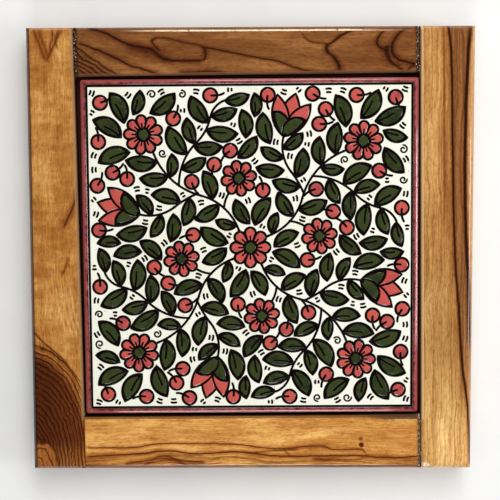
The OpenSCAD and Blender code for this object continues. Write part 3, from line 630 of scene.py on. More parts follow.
# Painted shade on the bottom rail's lower chamfer.
wood.paint_chamfer_shade(outer_low[1], srgb(180, 156, 134))
bark = wood.math("MULTIPLY_ADD", wood.noise(wood.place, 0.5, 3.0, 0.6), 0.3, wood.layer("to_gap"))
bark = wood.times(wood.between(bark, 0.15, 0.35), wood.between(wood.a, 46.0, 66.0))
wood.tint(bark, srgb(74, 50, 34), 0.85)
wood.tint(wood.spot((50.0, -88.8), 1.5, 0.3), srgb(54, 16, 4), 0.95)
wood.tint(wood.spot((49.7, -85.8), 1.2, 0.3), srgb(124, 66, 24), 0.85)
# Painted shade: this rail's wall beside the tile is given a near black-brown colour for the shade in the gap.
stick("bottom_rail_wood", rail_corners(low_y, bottom_left_w, bottom_right_w, 1),
      (outer_bevel, bottom_right_bevel, waney, bottom_left_bevel),
      (0, 0.5, lambda plan: wane_ragged * wane(plan), 0),
      wood.varnished(srgb(86, 60, 40), srgb(84, 58, 36), srgb(56, 30, 14)), "bottom_rail_wood")

# Backing board: birch plywood cut to the pocket and glued to its ledge, sanded but raw. Its upper side
# is the floor of the gap round the tile, painted near black as the shade deep in the gap.
class Raw(Finish):
    """Raw wood with fine fibres along X."""

    def __init__(self, name, colour, dark, fibre):
        super().__init__(name)
        fibres = self.noise(self.mapped(self.place, fibre), 1.0, 4.0, 0.6)
        flecks = self.noise(self.mapped(self.place, (0.5, 3.0, 3.0), offset=(7, 3, 1)), 1.0, 1.0)
        self.colour = self.mix(self.between(fibres, 0.35, 0.65), dark, colour)
        self.colour = self.mix(self.between(flecks, 0.64, 0.72), self.colour, dark)
        self.set(Roughness=0.75, Specular_IOR_Level=0.3)
        self.raised(fibres, 0.06)


def clothe(node, material):
    """Gives a part of the frame its material."""
    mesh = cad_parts[node].data
    mesh.materials.clear()
    mesh.materials.append(material)


ply = Raw("birch_plywood", srgb(216, 184, 134), srgb(190, 152, 104), (0.02, 0.9, 0.9))
ply_t = (board_high[2] - board_low[2]) / 5
layer = ply.math("PINGPONG", ply.math("DIVIDE", ply.math("SUBTRACT", ply.z, board_low[2]), ply_t), 1.0)
plies = ply.mix(ply.between(layer, 0.45, 0.55), ply.colour, srgb(172, 130, 84))
# Painted shade: the board's upper side, the floor of the gap, is coloured near black.
painted_gap_shade = ply.between(ply.z, board_high[2] - 0.3, board_high[2] - 0.1)
ply.set(Base_Color=ply.mix(painted_gap_shade, plies, srgb(60, 28, 20)))
clothe("backing_board", ply.material)

# Dowels: eight beech pegs, two glued blind in each butt joint. They are turned and left raw.
beech = Raw("raw_beech", srgb(222, 188, 140), srgb(184, 138, 92), (0.3, 2.5, 2.5))
beech.set(Base_Color=beech.colour)
for end in ("top", "bottom"):
    for side in ("left", "right"):
        for row in ("outer", "inner"):
            clothe(f"dowel_{end}_{side}_{row}", beech.material)

# Tile adhesive: a pale grey bed combed on with a notched trowel, between the board and the tile.
bed = Finish("tile_adhesive")
comb = bed.math("SINE", bed.times(bed.x, 1.05))
grit = bed.noise(bed.place, 2.5, 3.0, 0.7)
bed.set(Base_Color=bed.mix(grit, srgb(196, 192, 182), srgb(224, 220, 210)), Roughness=0.85)
bed.raised(bed.math("MULTIPLY_ADD", grit, 0.4, comb), 0.25)
clothe("tile_adhesive", bed.material)

# Tile body: pressed and fired biscuit, warm buff with grog specks, ribbed on its back.
biscuit = Finish("fired_biscuit")
grog = biscuit.noise(biscuit.place, 1.3, 2.0)
clay = biscuit.mix(biscuit.noise(biscuit.place, 0.12, 3.0), srgb(190, 150, 122), srgb(210, 176, 148))
biscuit.set(Base_Color=biscuit.mix(biscuit.between(grog, 0.66, 0.7), clay, srgb(140, 92, 70)), Roughness=0.8)
biscuit.raised(biscuit.noise(biscuit.place, 3.0, 3.0, 0.7), 0.08)
clothe("tile_body", biscuit.material)

# White glaze: a creamy tin glaze that covers the face and runs down the sides of the tile, melted
# round at every edge and not quite flat.
tile_w, tile_turn = 151.0, math.radians(0.2)
tile_edge_r, tile_corner_r, glaze_t, glaze_skirt = 0.6, 1.2, 0.35, 3.0
glaze_low, glaze_high = (np.array(corner) * 1000 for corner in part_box("white_glaze"))
tile_middle, glaze_z = (glaze_low + glaze_high)[:2] / 2, glaze_high[2]


def on_tile(x, y, z):
    """Places on the tile, turned with it about its middle."""
    cosine, sine = math.cos(tile_turn), math.sin(tile_turn)
    x, y, z = np.broadcast_arrays(x, y, z)
    return np.stack([tile_middle[0] + cosine * x - sine * y, tile_middle[1] + sine * x + cosine * y, z], -1)


def block_face(half, corner_r, top):
    """Grid over the face of a square block. In a corner the square rings of the grid are drawn onto
    arcs: each place keeps its larger distance from the arc's middle as its radius. Within the edge
    radius the height falls along a quarter circle."""
    roll = tile_edge_r * (1 - np.cos(np.radians(np.arange(0, 91, 15))))
    line = spaced(2 * half, [*np.diff(roll), 0.2, 0.4, 0.7], 1.6) - half
    x, y = np.meshgrid(line, line, indexing="ij")
    past_x, past_y = np.abs(x) - half + corner_r, np.abs(y) - half + corner_r
    edge = half - np.maximum(np.abs(x), np.abs(y))
    in_corner = (past_x > 0) & (past_y > 0)
    draw = np.where(in_corner, np.maximum(past_x, past_y) / np.maximum(np.hypot(past_x, past_y), 1e-9), 1)
    x = np.where(in_corner, np.sign(x) * (half - corner_r + past_x * draw), x)
    y = np.where(in_corner, np.sign(y) * (half - corner_r + past_y * draw), y)
    z = top - tile_edge_r + np.sqrt(tile_edge_r**2 - np.clip(tile_edge_r - edge, 0, None)**2)
    waves = 0.035 * lumps(x + half, y + half, 11, 71) + 0.015 * lumps(x + half, y + half, 4, 72)
    return x, y, z - waves * np.clip(edge / 3 - 0.3, 0, 1), edge


outer_face = block_face(tile_w / 2, tile_corner_r, glaze_z)
inner_face = block_face(tile_w / 2 - glaze_t, tile_corner_r - glaze_t, glaze_z - glaze_t)
glaze_points, glaze_faces, from_edge, loops, count = [], [], [], [], 0
for x, y, z, edge in (outer_face, inner_face):
    ring = rim(np.arange(x.size).reshape(x.shape))
    foot = on_tile(x.ravel()[ring], y.ravel()[ring], glaze_z - glaze_skirt)
    glaze_points += [on_tile(x, y, z).reshape(-1, 3), foot]
    foot_ring = count + x.size + np.arange(len(ring))
    glaze_faces += [grid_faces(*x.shape) + count, wall_faces(ring + count, foot_ring)]
    from_edge += [edge.ravel(), np.zeros(len(ring))]
    loops.append(foot_ring)
    count += x.size + len(ring)
glaze_faces.append(wall_faces(*loops))

glaze = Finish("tin_glaze")
cloud = glaze.noise(glaze.place, 0.03, 3.0, 0.55)
cream = glaze.mix(glaze.between(cloud, 0.35, 0.65), srgb(233, 232, 214), srgb(239, 238, 225))
pinholes = glaze.between(glaze.noise(glaze.place, 0.9, 1.0), 0.735, 0.76)
cream = glaze.mix(pinholes, cream, srgb(176, 158, 132))
from_rim = glaze.layer("from_edge")
cream = glaze.mix(glaze.between(from_rim, 1.1, 0.7), cream, srgb(146, 66, 66))
# Painted shade: the glaze's very edge and its skirt down the side are coloured near black, as the shade in
# the gap round the tile.
cream = glaze.mix(glaze.between(from_rim, 0.16, 0.02), cream, srgb(30, 12, 12))
glaze.set(Base_Color=cream, Roughness=0.07, Specular_IOR_Level=0.5, Coat_Weight=0.5, Coat_Roughness=0.03)
glaze.raised(glaze.noise(glaze.place, 0.25, 2.0, 0.5), 0.03)
made("white_glaze_skin", np.concatenate(glaze_points), np.concatenate(glaze_faces).tolist(), glaze.material,
     "white_glaze", "white_glaze", from_edge=np.concatenate(from_edge))

# Red border: one band of muted red enamel trailed round the tile's edge by hand, domed by its own
# surface tension, with a slightly uneven width.
band_w, band_rise, border_line_w = 1.7, 0.3, 0.75
band_outer = tile_w / 2 - tile_edge_r
band_inner = band_outer - band_w
field_half = band_inner - border_line_w
sunk, drawn_down = 0.02, 0.12


def eased(count):
    """Shares from 0 to 1 that lie closer together towards both ends."""
    return (1 - np.cos(np.linspace(0, np.pi, count))) / 2


def domed(distance, shoulder):
    """Share of its full height that enamel has at a distance from its edge: it rises along a quarter
    circle as wide as its shoulder."""
    return np.sqrt(np.clip(1 - (1 - np.clip(distance / shoulder, 0, 1))**2, 0, 1))


def placed(grid, pose):
    """A grid or a path turned to the pose's heading and moved to its place."""
    cosine, sine = math.cos(math.radians(pose[2])), math.sin(math.radians(pose[2]))
    x, y = grid[:2]
    return (pose[0] + cosine * x - sine * y, pose[1] + sine * x + cosine * y, *grid[2:])


class Enamel:
    """Domed enamel of one height over its base, gathered pad by pad into one piece. A pad is a
    four-sided grid of places on the tile with each place's distance from the pad's edge, and one
    flat face closes it underneath."""

    def __init__(self, seed, base, height):
        self.points, self.faces, self.tones, self.edges, self.count = [], [], [], [], 0
        self.random = np.random.default_rng(seed)
        self.base, self.height = base, height

    def gather(self, x, y, rise, tone, edge, *faces):
        """Takes in places with their share of the height, and the faces between them."""
        self.points.append(on_tile(x, y, self.base + self.height * rise).reshape(-1, 3))
        for some in faces:
            self.faces += (some + self.count).tolist()
        self.tones.append(tone.ravel())
        self.edges.append(edge.ravel())
        self.count += x.size

    def add(self, grid, shoulder):
        """One pad, which lies up to drawn_down of its height lower, the more the higher its tone."""
        x, y, distance = grid
        tone = self.random.random()
        rise = domed(distance, shoulder) * (1 - drawn_down * tone)
        under = rim(np.arange(x.size).reshape(x.shape))[None, ::-1]
        self.gather(x, y, rise, np.full(x.size, tone), np.clip(distance, 0, None),
                    grid_faces(*x.shape), under)

    def repeat(self, grid, shoulder, lone=False):
        """The same pad in all four quarters of the tile, or a lone one in its middle."""
        for turned in (0,) if lone else (0, 90, 180, 270):
            self.add(placed(grid, (0, 0, turned)), shoulder)

    def add_ring(self, outer, width, shoulder):
        """A band round the square: each station keeps its direction from the middle, and each
        place across the band is scaled to its own square."""
        side = np.linspace(-1, 1, 120, endpoint=False)
        square = np.concatenate([np.stack([side, -1 + 0 * side]), np.stack([1 + 0 * side, side]),
                                 np.stack([-side, 1 + 0 * side]), np.stack([-1 + 0 * side, -side])], 1)
        across = np.concatenate([eased(11), [0.5]])
        bumps = partial(lumps, *(square * 9 + 20))
        wobble = 0.07 * (bumps(1, 81) - 0.5)
        depth = width * across + wobble[:, None] * np.sin(across * np.pi)
        distance = np.minimum(across, 1 - across) * width
        rise = domed(distance, shoulder)
        rise[-1] = 0
        number = np.arange(depth.size).reshape(depth.shape)
        aside = np.roll(number, -1, 1)
        around = np.stack([number, np.roll(number, -1, 0), np.roll(aside, -1, 0), aside], -1).reshape(-1, 4)
        # Besides its random drift, the tone falls across the band, so the outer side is painted lighter and
        # the inner side darker: painted shading of the domed band.
        tone = 0.5 * bumps(3, 82)[:, None] + 0.6 - 1.1 * across
        self.gather(*(square[..., None] * (outer - depth)), rise, tone, np.tile(distance, len(depth)), around)

    def made(self, name, material, slot, *nodes):
        """All that was gathered, as one piece."""
        made(name, np.concatenate(self.points), self.faces, material, slot, *nodes,
             tone=np.concatenate(self.tones), edge=np.concatenate(self.edges))


class EnamelFinish(Finish):
    """Glossy fired enamel: thinner and darker at the edge of each pad, with its own tone in each
    pad, faint brush clouds and a lightly pitted skin. The black line shows through its thin rim."""

    def __init__(self, name, thin, middle, full, pooled, gloss=1.0, rim=0.0):
        super().__init__(name)
        edge = self.layer("edge")
        cloud = self.noise(self.place, 0.35, 3.0, 0.6)
        drift = self.math("MULTIPLY_ADD", self.layer("tone"), 0.35, cloud)
        colour = self.mix(self.between(drift, 0.4, 0.75), middle, full)
        colour = self.mix(self.between(drift, 0.5, 0.3), colour, thin)
        colour = self.mix(self.times(self.between(edge, 0.45, 0.05), pooled), colour, middle, "MULTIPLY")
        if rim:
            colour = self.mix(self.between(edge, rim, rim * 0.5), colour, srgb(16, 6, 6))
        grit = self.noise(self.place, 4.5, 2.0, 0.6)
        self.set(Base_Color=colour, Roughness=0.14, Specular_IOR_Level=0.6 * gloss, Coat_Weight=gloss,
                 Coat_Roughness=0.05, Coat_IOR=1.5 + 0.4 * gloss)
        self.raised(self.math("MULTIPLY_ADD", cloud, 1.5, grit), 0.02)


border = Enamel(3, glaze_z - sunk, band_rise + sunk)
border.add_ring(band_outer, band_w, band_w / 2)
band_finish = EnamelFinish("muted_red_enamel", srgb(84, 22, 24), srgb(110, 36, 36), srgb(164, 82, 78), 0.4)
border.made("red_border_band", band_finish.material, "red_enamel", "red_border")

# Black linework: the line inside the border, the vines with their knots and stalks, and the
# outlines that hold the coloured enamel. It is trailed on first, so that the colours can't run.
outline_w, stem_w, line_h, pad_h, spread = 0.8, 0.8, 0.12, 0.2, 0.16
outline_shoulder, border_shoulder, knot_shoulder = 0.2, 0.25, 0.3
centre_rosette_share, centre_petals = 0.13, 8
berry_share, stalk_share, stalk_root_share, stalk_sweep = 0.049, 0.083, 0.8, 38
knot_share = 1.35
leaf_full_share, leaf_flat_share, point_share = 0.35, 0.17, 2
rosette_centre_share, petal_root_share = 0.26, 0.42
# Each vine is its start, its arcs (radius and sweep), its leaves (arc, how far along it, side, splay
# and length) and its flower. Places and lengths are shares of half the field, and angles are degrees.
vines_share = [
    ((0.112, 0.072, 20), [(0.34, 55), (0.43, -53), (0.24, 6)],
     [(0, 0.08, 1, 50, 0.14), (0, 0.62, 1, 68, 0.18), (0, 0.77, -1, 45, 0.19), (1, 0.60, 1, 50, 0.18),
      (1, 0.57, -1, 50, 0.15), (1, 0.88, 1, 58, 0.20)],
     ("rosette", 0.126, 9,
      [(-45, -35, 0.20), (0, -45, 0.16), (32, -35, 0.21), (70, -40, 0.21), (115, -35, 0.21)])),
    ((1, 0.38, -55), [(0.37, -46), (0.30, 34), (0.14, -60)],
     [(0, 0.35, -1, 50, 0.17), (0, 0.68, 1, 65, 0.21), (0, 0.90, -1, 50, 0.18), (0, 0.95, 1, 60, 0.17),
      (1, 0.55, -1, 70, 0.20), (1, 0.80, 1, 52, 0.20), (2, 0.05, -1, 60, 0.17), (2, 0.95, -1, 8, 0.16)],
     None),
    ((1, 0.08, 42), [(0.60, 15), (0.25, -54)],
     [(0, 0.30, 1, 50, 0.18), (0, 0.70, -1, 48, 0.19), (1, 0.40, 1, 48, 0.16), (1, 0.65, -1, 55, 0.16)],
     ("tulip", 0.28)),
    ((0, 0.50, -52), [(0.20, -30)], [], ("rosette", 0.115, 8, [(-22, -40, 0.18), (38, -45, 0.18)]))]
loose_leaves_share = [(0.03, 0.135, 60, 0.20, 1), (0.13, 0.64, 103, 0.20, 1), (0.03, 0.805, 90, 0.15, -1),
                      (0.675, 0.025, 8, 0.18, -1), (0.147, 0.00, 30, 0.18, 1)]
berries_share = [(0.90, 0.92, 110), (0.80, 0.47, 150), (0.94, 0.24, 90), (0.39, 0.945, 150),
                 (0.08, 0.355, -85), (0.60, 0.12, -50), (0.43, 0.76, 180), (0.114, 0.94, 85),
                 (0.515, 0.22, -15), (0.47, 0.85, 120), (0.41, 0.36, 20), (0.66, 0.935, 180)]
# Lobes and calyx leaves of a tulip: heading, then length, left bulge and right bulge as shares.
lobes_share = [(0, 1, 0.22, 0.22), (24, 0.95, 0.2, 0.2), (-24, 0.95, 0.2, 0.2)]
calyx_share = [(38, 0.62, 0.05, 0.25), (-38, 0.62, 0.25, 0.05)]


def arc_on(pose, radius, sweep):
    """Pose after an arc: the heading grows by the sweep, and the place moves by the radius times the
    change of its sine and cosine."""
    turned = np.sign(sweep)
    before, after = np.radians(pose[2]), np.radians(pose[2] + sweep)
    return (pose[0] + turned * radius * (np.sin(after) - np.sin(before)),
            pose[1] - turned * radius * (np.cos(after) - np.cos(before)), pose[2] + sweep)


def ahead(pose, bearing, distance, heading=0.0):
    """Pose at a distance from a place on the given bearing."""
    return (pose[0] + distance * math.cos(math.radians(bearing)),
            pose[1] + distance * math.sin(math.radians(bearing)), heading)


def leaf_grid(length, left, right, inset):
    """Pointed leaf along +X, drawn back by an inset. Over its chord c each side stands off by
    sqrt(R^2 - (x - c/2)^2) - R + bulge, where R = (c^2/4 + bulge^2) / (2 bulge)."""
    back = point_share * inset
    chord = length - 2 * back
    along = chord * eased(21)[:, None]
    sides = []
    for bulge in (left - inset, right - inset):
        radius = (chord**2 / 4 + bulge**2) / (2 * bulge)
        sides.append(np.sqrt(radius**2 - (along - chord / 2)**2) - radius + bulge)
    y = -sides[1] + (sides[0] + sides[1]) * eased(8)
    return along + back + 0 * y, y, np.minimum(sides[0] - y, y + sides[1])


def disc_grid(radius, rows=13, columns=9):
    """Disc as a grid: at each station its half-width is sqrt(r^2 - x^2)."""
    x = radius * (2 * eased(rows)[:, None] - 1)
    y = np.sqrt(np.clip(radius**2 - x**2, 0, None)) * (2 * eased(columns) - 1)
    return x + 0 * y, y, radius - np.hypot(x, y)


def line_grid(path, width):
    """Bar along a path with a half-round section and round ends: its half-width shrinks to nothing
    along a quarter circle at both ends."""
    x, y = path
    run = np.concatenate([[0], np.cumsum(np.hypot(np.diff(x), np.diff(y)))])
    run_x, run_y = np.gradient(x, run), np.gradient(y, run)
    half = width / 2 * domed(np.minimum(run, run[-1] - run), width / 2)[:, None]
    lean = np.cos(np.linspace(0, np.pi, 7))
    return (x[:, None] - run_y[:, None] * half * lean, y[:, None] + run_x[:, None] * half * lean,
            half * (1 - np.abs(lean)))


def arc_path(pose, radius, sweep):
    """Places along an arc, closer together at its ends."""
    count = int(abs(math.radians(sweep)) * radius / 0.8) + 3
    shares = np.unique(np.concatenate([np.linspace(0, 1, count), [0.004, 0.012, 0.03, 0.97, 0.988, 0.996]]))
    return arc_on(pose, radius, sweep * shares)[:2]


def chain(number):
    """Poses along a vine: its start and the end of each of its arcs."""
    start, arcs = vines_share[number][:2]
    if number == 0:
        poses = [(start[0] * field_half, start[1] * field_half, start[2])]
    else:
        radius, sweep = vines_share[0][1][start[0]]
        x, y, heading = arc_on(chain(0)[start[0]], radius * field_half, sweep * start[1])
        poses = [(x, y, heading + start[2])]
    for radius, sweep in arcs:
        poses.append(arc_on(poses[-1], radius * field_half, sweep))
    return poses


chains = [chain(number) for number in range(len(vines_share))]
rosettes, tulips, leaf_rows = [((0, 0, 0), centre_rosette_share * field_half, centre_petals)], [], []
for poses, (start, arcs, leaves, bloom) in zip(chains, vines_share):
    end = poses[-1]
    for arc, along, side, splay, length in leaves:
        x, y, heading = arc_on(poses[arc], arcs[arc][0] * field_half, arcs[arc][1] * along)
        leaf_rows.append(((x, y, heading + side * splay), length * field_half, side))
    if bloom and bloom[0] == "rosette":
        size = bloom[1] * field_half
        middle = ahead(end, end[2], size - outline_w, end[2] + 180)
        rosettes.append((middle, size, bloom[2]))
        for bearing, splay, length in bloom[3]:
            root = ahead(middle, end[2] + bearing, size + outline_w, end[2] + bearing + splay)
            leaf_rows.append((root, length * field_half, np.sign(splay)))
    elif bloom:
        tulips.append((ahead(end, end[2], -outline_w, end[2]), bloom[1] * field_half))
leaf_rows += [((x * field_half, y * field_half, heading), length * field_half, side)
              for x, y, heading, length, side in loose_leaves_share]
berry_r = berry_share * field_half
berry_poses = [(x * field_half, y * field_half, heading) for x, y, heading in berries_share]


def leaf_shape(row, inset):
    """Grid of one leaf, drawn back by an inset, with its full side to the left or to the right."""
    pose, length, side = row
    full, flat = leaf_full_share * length, leaf_flat_share * length
    return placed(leaf_grid(length, full if side > 0 else flat, flat if side > 0 else full, inset), pose)


def petal_middle(radius, petals):
    """Distance from the rosette's middle to the petals' round ends, whose outlines touch."""
    return (radius - outline_w / 2) / (1 + math.sin(math.pi / petals))


on_glaze = (glaze_z - sunk, line_h + sunk)
lines = Enamel(5, *on_glaze)
drawn_w = stem_w + 2 * spread
lines.add_ring(band_inner, border_line_w + 2 * spread, border_shoulder)
stem_x, stem_y, _ = chains[0][0]
lines.repeat(line_grid((np.linspace(0, stem_x, 24), np.linspace(0, stem_y, 24)), drawn_w), drawn_w / 2)
knot = disc_grid(knot_share * stem_w / 2 + spread, 7, 5)
for poses, (start, arcs, leaves, bloom) in zip(chains, vines_share):
    for pose, (radius, sweep) in zip(poses, arcs):
        lines.repeat(line_grid(arc_path(pose, radius * field_half, sweep), drawn_w), drawn_w / 2)
        lines.repeat(placed(knot, (*pose[:2], 0)), knot_shoulder)
for pose in berry_poses:
    root = ahead(pose, pose[2] + 180, berry_r * stalk_root_share, pose[2] + 180)
    lines.repeat(line_grid(arc_path(root, stalk_share * field_half, stalk_sweep), drawn_w), drawn_w / 2)
    lines.repeat(placed(disc_grid(berry_r + spread), pose), outline_shoulder)
for row in leaf_rows:
    lines.repeat(leaf_shape(row, -spread), outline_shoulder)
for number, (pose, radius, petals) in enumerate(rosettes):
    middle = petal_middle(radius, petals)
    round_end = disc_grid(radius - middle + spread)
    lines.repeat(placed(disc_grid(middle), pose), outline_shoulder, lone=not number)
    for k in range(petals):
        disc = placed(round_end, ahead((0, 0), 360 / petals * k, middle))
        lines.repeat(placed(disc, pose), outline_shoulder, lone=not number)
for pose, size in tulips:
    for heading, length, left, right in lobes_share + calyx_share:
        part = placed(leaf_grid(length * size, left * size, right * size, -spread), (0, 0, heading))
        lines.repeat(placed(part, pose), outline_shoulder)
black = EnamelFinish("black_enamel", srgb(12, 6, 8), srgb(8, 4, 6), srgb(16, 9, 9), 0.2, gloss=0.3)
lines.made("linework", black.material, "black_enamel", "black_linework")

# Leaves: pads of dark green enamel, thick and glossy, each inside its own outline.
on_outline, leaf_shoulder = (glaze_z + line_h - sunk, pad_h + sunk), 0.8
green = EnamelFinish("green_enamel", srgb(34, 39, 27), srgb(40, 48, 24), srgb(54, 64, 31), 0.5, gloss=0.45,
                     rim=0.36)
pads = Enamel(7, *on_outline)
for row in leaf_rows:
    pads.repeat(leaf_shape(row, outline_w), leaf_shoulder)
pads.made("leaf_pads", green.material, "green_enamel", "leaves")

# Petals: pads of coral enamel for the rosettes and for the lobes of the tulips.
coral = EnamelFinish("coral_enamel", srgb(148, 58, 62), srgb(172, 74, 74), srgb(196, 86, 76), 0.45, gloss=0.8,
                     rim=0.28)
petal_shoulder = 0.6


def petal_grid(radius, petals):
    """Petal along +X: straight sides that widen from the root to the round end, whose half-width is
    sqrt(r^2 - (x - middle)^2)."""
    middle = petal_middle(radius, petals)
    end_r = radius - outline_w - middle
    root = petal_root_share * middle
    first = rosette_centre_share * radius + outline_w
    x = first + (middle + end_r - first) * eased(12)[:, None]
    widening = petal_root_share + (1 - petal_root_share) * (x - root) / (middle - root)
    half = np.where(x < middle, end_r * widening, np.sqrt(np.clip(end_r**2 - (x - middle)**2, 0, None)))
    y = half * (2 * eased(8) - 1)
    to_side = np.where(x < middle, half - np.abs(y), end_r - np.hypot(x - middle, y))
    return x + 0 * y, y, np.clip(np.minimum(to_side, x - first), 0, None)


def lens_reach(part, bearing, size):
    """How far a tulip's lobe reaches from its foot on each bearing: both its arcs pass through the
    foot, so the reach is c cos(b) - 2 (R - bulge) |sin(b)|, and nothing where that is below 0."""
    heading, length, left, right = part
    b = np.radians(bearing - heading)
    bulge = np.where(b > 0, left, right) * size
    chord = length * size
    radius = (chord**2 / 4 + bulge**2) / (2 * bulge)
    return np.clip(chord * np.cos(b) - 2 * (radius - bulge) * np.abs(np.sin(b)), 0, None)


def lobe_grid(number, size):
    """What shows of one part of a tulip, between the reach of the parts that lie over it and its own
    reach, drawn back inside its outline."""
    parts = lobes_share + calyx_share
    bearing = np.linspace(-110, 110, 881)
    reach = lens_reach(parts[number], bearing, size)
    slant = np.sqrt(1 + (np.gradient(reach, np.radians(bearing)) / np.maximum(reach, 1e-6))**2)
    outside = reach - outline_w * slant
    inside = np.full(len(bearing), point_share * outline_w)
    for part in parts[number + 1:]:
        inside = np.maximum(inside, lens_reach(part, bearing, size))
    shown = np.flatnonzero(outside - inside > 0.05)
    longest = max(np.split(shown, np.flatnonzero(np.diff(shown) > 1) + 1), key=len)
    seen = np.interp(eased(15), np.linspace(0, 1, len(longest)), longest)
    low, high, angle, lean = (np.interp(seen, np.arange(len(bearing)), values)[:, None]
                              for values in (inside, outside, np.radians(bearing), 1 / slant))
    out = low + (high - low) * eased(8)
    distance = np.minimum((high - out) * lean, out - low)
    distance[[0, -1]] = 0
    return out * np.cos(angle), out * np.sin(angle), distance


pads = Enamel(9, *on_outline)
for number, (pose, radius, petals) in enumerate(rosettes):
    for k in range(petals):
        petal = placed(petal_grid(radius, petals), (0, 0, 360 / petals * k))
        pads.repeat(placed(petal, pose), petal_shoulder, lone=not number)
for pose, size in tulips:
    for number in range(len(lobes_share)):
        pads.repeat(placed(lobe_grid(number, size), pose), leaf_shoulder)
pads.made("petal_pads", coral.material, "coral_enamel", "petals")

# Berries: round drops of the same coral enamel.
berry_shoulder = 1.2
pads = Enamel(11, *on_outline)
for pose in berry_poses:
    pads.repeat(placed(disc_grid(berry_r - outline_w), pose), berry_shoulder)
pads.made("berry_drops", coral.material, "coral_enamel", "berries")

# Flower centres and calyxes: small pads of the green enamel.
centre_shoulder = 0.9
pads = Enamel(13, *on_outline)
for number, (pose, radius, petals) in enumerate(rosettes):
    pads.repeat(placed(disc_grid(rosette_centre_share * radius), pose), centre_shoulder, lone=not number)
pads.made("centre_drops", green.material, "green_enamel", "flower_centres")
pads = Enamel(15, *on_outline)
for pose, size in tulips:
    for number in range(len(calyx_share)):
        pads.repeat(placed(lobe_grid(len(lobes_share) + number, size), pose), leaf_shoulder)
pads.made("calyx_pads", green.material, "green_enamel", "calyxes")

# Pen strokes: what the painter adds last in black. Midribs on the leaves, a stroke in each petal and
# berry, and curls and pairs of ticks wherever the white has room for them.
midrib_w, petal_stroke_w, berry_stroke_w, tick_w, curl_w = 1.0, 0.85, 1.15, 1.05, 0.85
stroke_rise, stroke_sunk = 0.09, 0.04
tick_length, short_tick, tick_clear, tick_room, tick_spacing = 3.0, 0.72, 0.82, 1.15, 4.0
curl_room, curl_room_most, curl_share, golden_turn = 2.7, 3.4, 0.62, 137.5
strokes = Enamel(17, glaze_z + line_h + pad_h - stroke_sunk, stroke_rise)


def tapered(length, bend):
    """Places along a slightly bent stroke from the origin along +X."""
    share = eased(15)
    return length * share, bend * length * share * (1 - share)


def curl(size, turns):
    """Spiral from its eye outward: the radius grows with the angle."""
    angle = np.linspace(0, 2 * np.pi * turns, 26)
    radius = size * (0.22 + 0.78 * angle / angle[-1])
    return radius * np.cos(angle), radius * np.sin(angle)


for pose, length, side in leaf_rows:
    midrib = placed(tapered(0.6 * length, 0.18 * side), (0.04 * length, 0.02 * length * side, 0))
    strokes.repeat(line_grid(placed(midrib, pose), midrib_w), midrib_w / 2)
for number, (pose, radius, petals) in enumerate(rosettes):
    for k in range(petals):
        stroke = placed(tapered(0.3 * radius, 0), (rosette_centre_share * radius + 0.3 * outline_w, 0, 0))
        stroke = placed(placed(stroke, (0, 0, 360 / petals * k)), pose)
        strokes.repeat(line_grid(stroke, petal_stroke_w), petal_stroke_w / 2, lone=not number)
for pose in berry_poses:
    stroke = placed(placed(tapered(0.95 * berry_r, 0.12), (-0.95 * berry_r, 0, 0)), pose)
    strokes.repeat(line_grid(stroke, berry_stroke_w), berry_stroke_w / 2)

covered = np.concatenate(lines.points)[:, :2] - tile_middle
covered = covered[covered.min(1) > -6]
spots = np.stack(np.meshgrid(*2 * [np.arange(1.2, field_half - 1.6, 0.9)]), -1).reshape(-1, 2)
room = np.array([np.min(np.hypot(*(covered - spot).T)) for spot in spots])
room = np.minimum(room, field_half - spots.max(1))
roomiest = sorted(zip(room.tolist(), spots.tolist()), reverse=True)
taken = []


def tick_pair(x, y, heading, length):
    """Two bent ticks side by side about a place, the second one a little behind the first."""
    return [placed(placed(tapered(length - short, 0.5), (shift - length / 2, aside, 0)), (x, y, heading))
            for aside, shift, short in ((-0.75, 0.3, 0.5), (0.75, 0.0, 0.0))]


def clearance(paths):
    """Smallest distance from the places on some paths to the linework and to the border's line."""
    places = np.concatenate([np.stack(path, -1)[::3] for path in paths])
    local = covered[np.hypot(*(covered - places.mean(0)).T) < 6]
    away = np.hypot(*(local[:, None] - places).reshape(-1, 2).T)
    return min(away.min(initial=9), (field_half - np.abs(places)).min())


strokes.base, strokes.height = on_glaze
for gap, (x, y) in roomiest:
    near = [(x, y), (-y, x), (y, -x)]
    taken_near = any(math.hypot(px - qx, py - qy) < tick_spacing for px, py in taken for qx, qy in near)
    if gap <= tick_room or taken_near:
        continue
    if gap > curl_room:
        spiral = curl(min(gap, curl_room_most) * curl_share, 1.3)
        paths, width = [placed(spiral, (x, y, golden_turn * len(taken)))], curl_w
    else:
        for length in (tick_length, short_tick * tick_length):
            tries = [tick_pair(x, y, heading, length) for heading in range(0, 360, 20)]
            paths, width = max(tries, key=clearance), tick_w
            if clearance(paths) > tick_clear:
                break
        else:
            continue
    taken.append((x, y))
    for path in paths:
        strokes.repeat(line_grid(path, width), width / 2)
strokes.made("pen_strokes", black.material, "black_enamel")

# Feet: four moulded rubber pads, glued under the ends of the stiles.
rubber = Finish("foot_rubber")
bloomed = rubber.noise(rubber.place, 0.25, 3.0, 0.6)
rubber.set(Base_Color=rubber.mix(bloomed, srgb(36, 33, 30), srgb(54, 50, 46)), Roughness=0.72)
rubber.raised(rubber.noise(rubber.place, 4.0, 2.0, 0.7), 0.04)
for end in ("top", "bottom"):
    for side in ("left", "right"):
        clothe(f"foot_{end}_{side}", rubber.material)

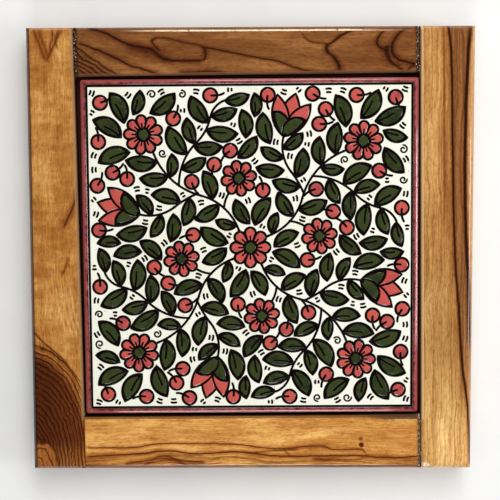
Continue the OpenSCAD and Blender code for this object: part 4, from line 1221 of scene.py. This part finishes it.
# Floor: plain pale ground, with soft lamps round the trivet and the camera at the photograph's angle.
floor_mesh = bpy.data.meshes.new("floor")
floor_corners = [(-4, -4, 0), (4, -4, 0), (4, 4, 0), (-4, 4, 0)]
floor_mesh.from_pydata(floor_corners, [], [(0, 1, 2, 3)])
floor = bpy.data.objects.new("floor", floor_mesh)
bpy.context.scene.collection.objects.link(floor)
ground = Finish("pale_floor")
speckle = ground.noise(ground.place, 0.05, 3.0)
ground.set(Base_Color=ground.mix(speckle, srgb(226, 226, 224), srgb(234, 234, 232)), Roughness=0.7)
floor_mesh.materials.append(ground.material)


def lamp(name, place, size, power):
    """A square soft lamp at a place in metres that faces the trivet."""
    light = bpy.data.lights.new(name, "AREA")
    light.shape, light.size, light.energy = "SQUARE", size, power
    holder = bpy.data.objects.new(name, light)
    bpy.context.scene.collection.objects.link(holder)
    holder.location = place
    holder.rotation_euler = (-Vector(place)).to_track_quat("-Z", "Y").to_euler()
    return holder


lamp("ceiling", (0.35, 0.75, 0.95), 0.9, 10.0).visible_glossy = False
lamp("window_above", (0.05, 0.95, 0.8), 0.35, 2.5)
lamp("window_below", (0.0, -0.9, 0.62), 0.4, 3.4)
lamp("window_right", (0.9, -0.05, 0.55), 0.3, 3.6)
sky_light, sky_shine = 0.36, 0.03
world = bpy.data.worlds.new("studio")
world.use_nodes = True
sky = world.node_tree
background = sky.nodes["Background"]
background.inputs["Color"].default_value = (1, 1, 1, 1)
rays = sky.nodes.new("ShaderNodeLightPath")
dim = sky.nodes.new("ShaderNodeMapRange")
dim.inputs["To Min"].default_value, dim.inputs["To Max"].default_value = sky_light, sky_shine
sky.links.new(rays.outputs["Is Glossy Ray"], dim.inputs["Value"])
sky.links.new(dim.outputs[0], background.inputs["Strength"])
bpy.context.scene.world = world
bpy.context.scene.view_settings.view_transform = "Standard"

# Camera: looks almost square on at the face from 45 cm, as measured from the photograph's four
# outer corners. Angles are the tilt, the swing and the roll of the trivet before the lens.
tilt, swing, roll = (math.radians(angle) for angle in (4.1614, -0.46669, 0.20278))
camera_distance = 0.450
picture_side, focal_px, middle_px = 500, 999.40, (251.037, 251.099)
sensor = 36
turn = Matrix.Rotation(roll, 3, "Z") @ Matrix.Rotation(swing, 3, "Y") @ Matrix.Rotation(tilt, 3, "X")
turn = turn.transposed()
lens = bpy.data.cameras.new("camera")
lens.sensor_width, lens.sensor_fit = sensor, "HORIZONTAL"
lens.lens = focal_px / picture_side * sensor
lens.shift_x = (picture_side / 2 - middle_px[0]) / picture_side
lens.shift_y = (middle_px[1] - picture_side / 2) / picture_side
camera = bpy.data.objects.new("camera", lens)
bpy.context.scene.collection.objects.link(camera)
place = turn @ Vector((0, 0, camera_distance)) + Vector((0, 0, face_z / 1000))
camera.matrix_world = Matrix.Translation(place) @ turn.to_4x4()
bpy.context.scene.camera = camera
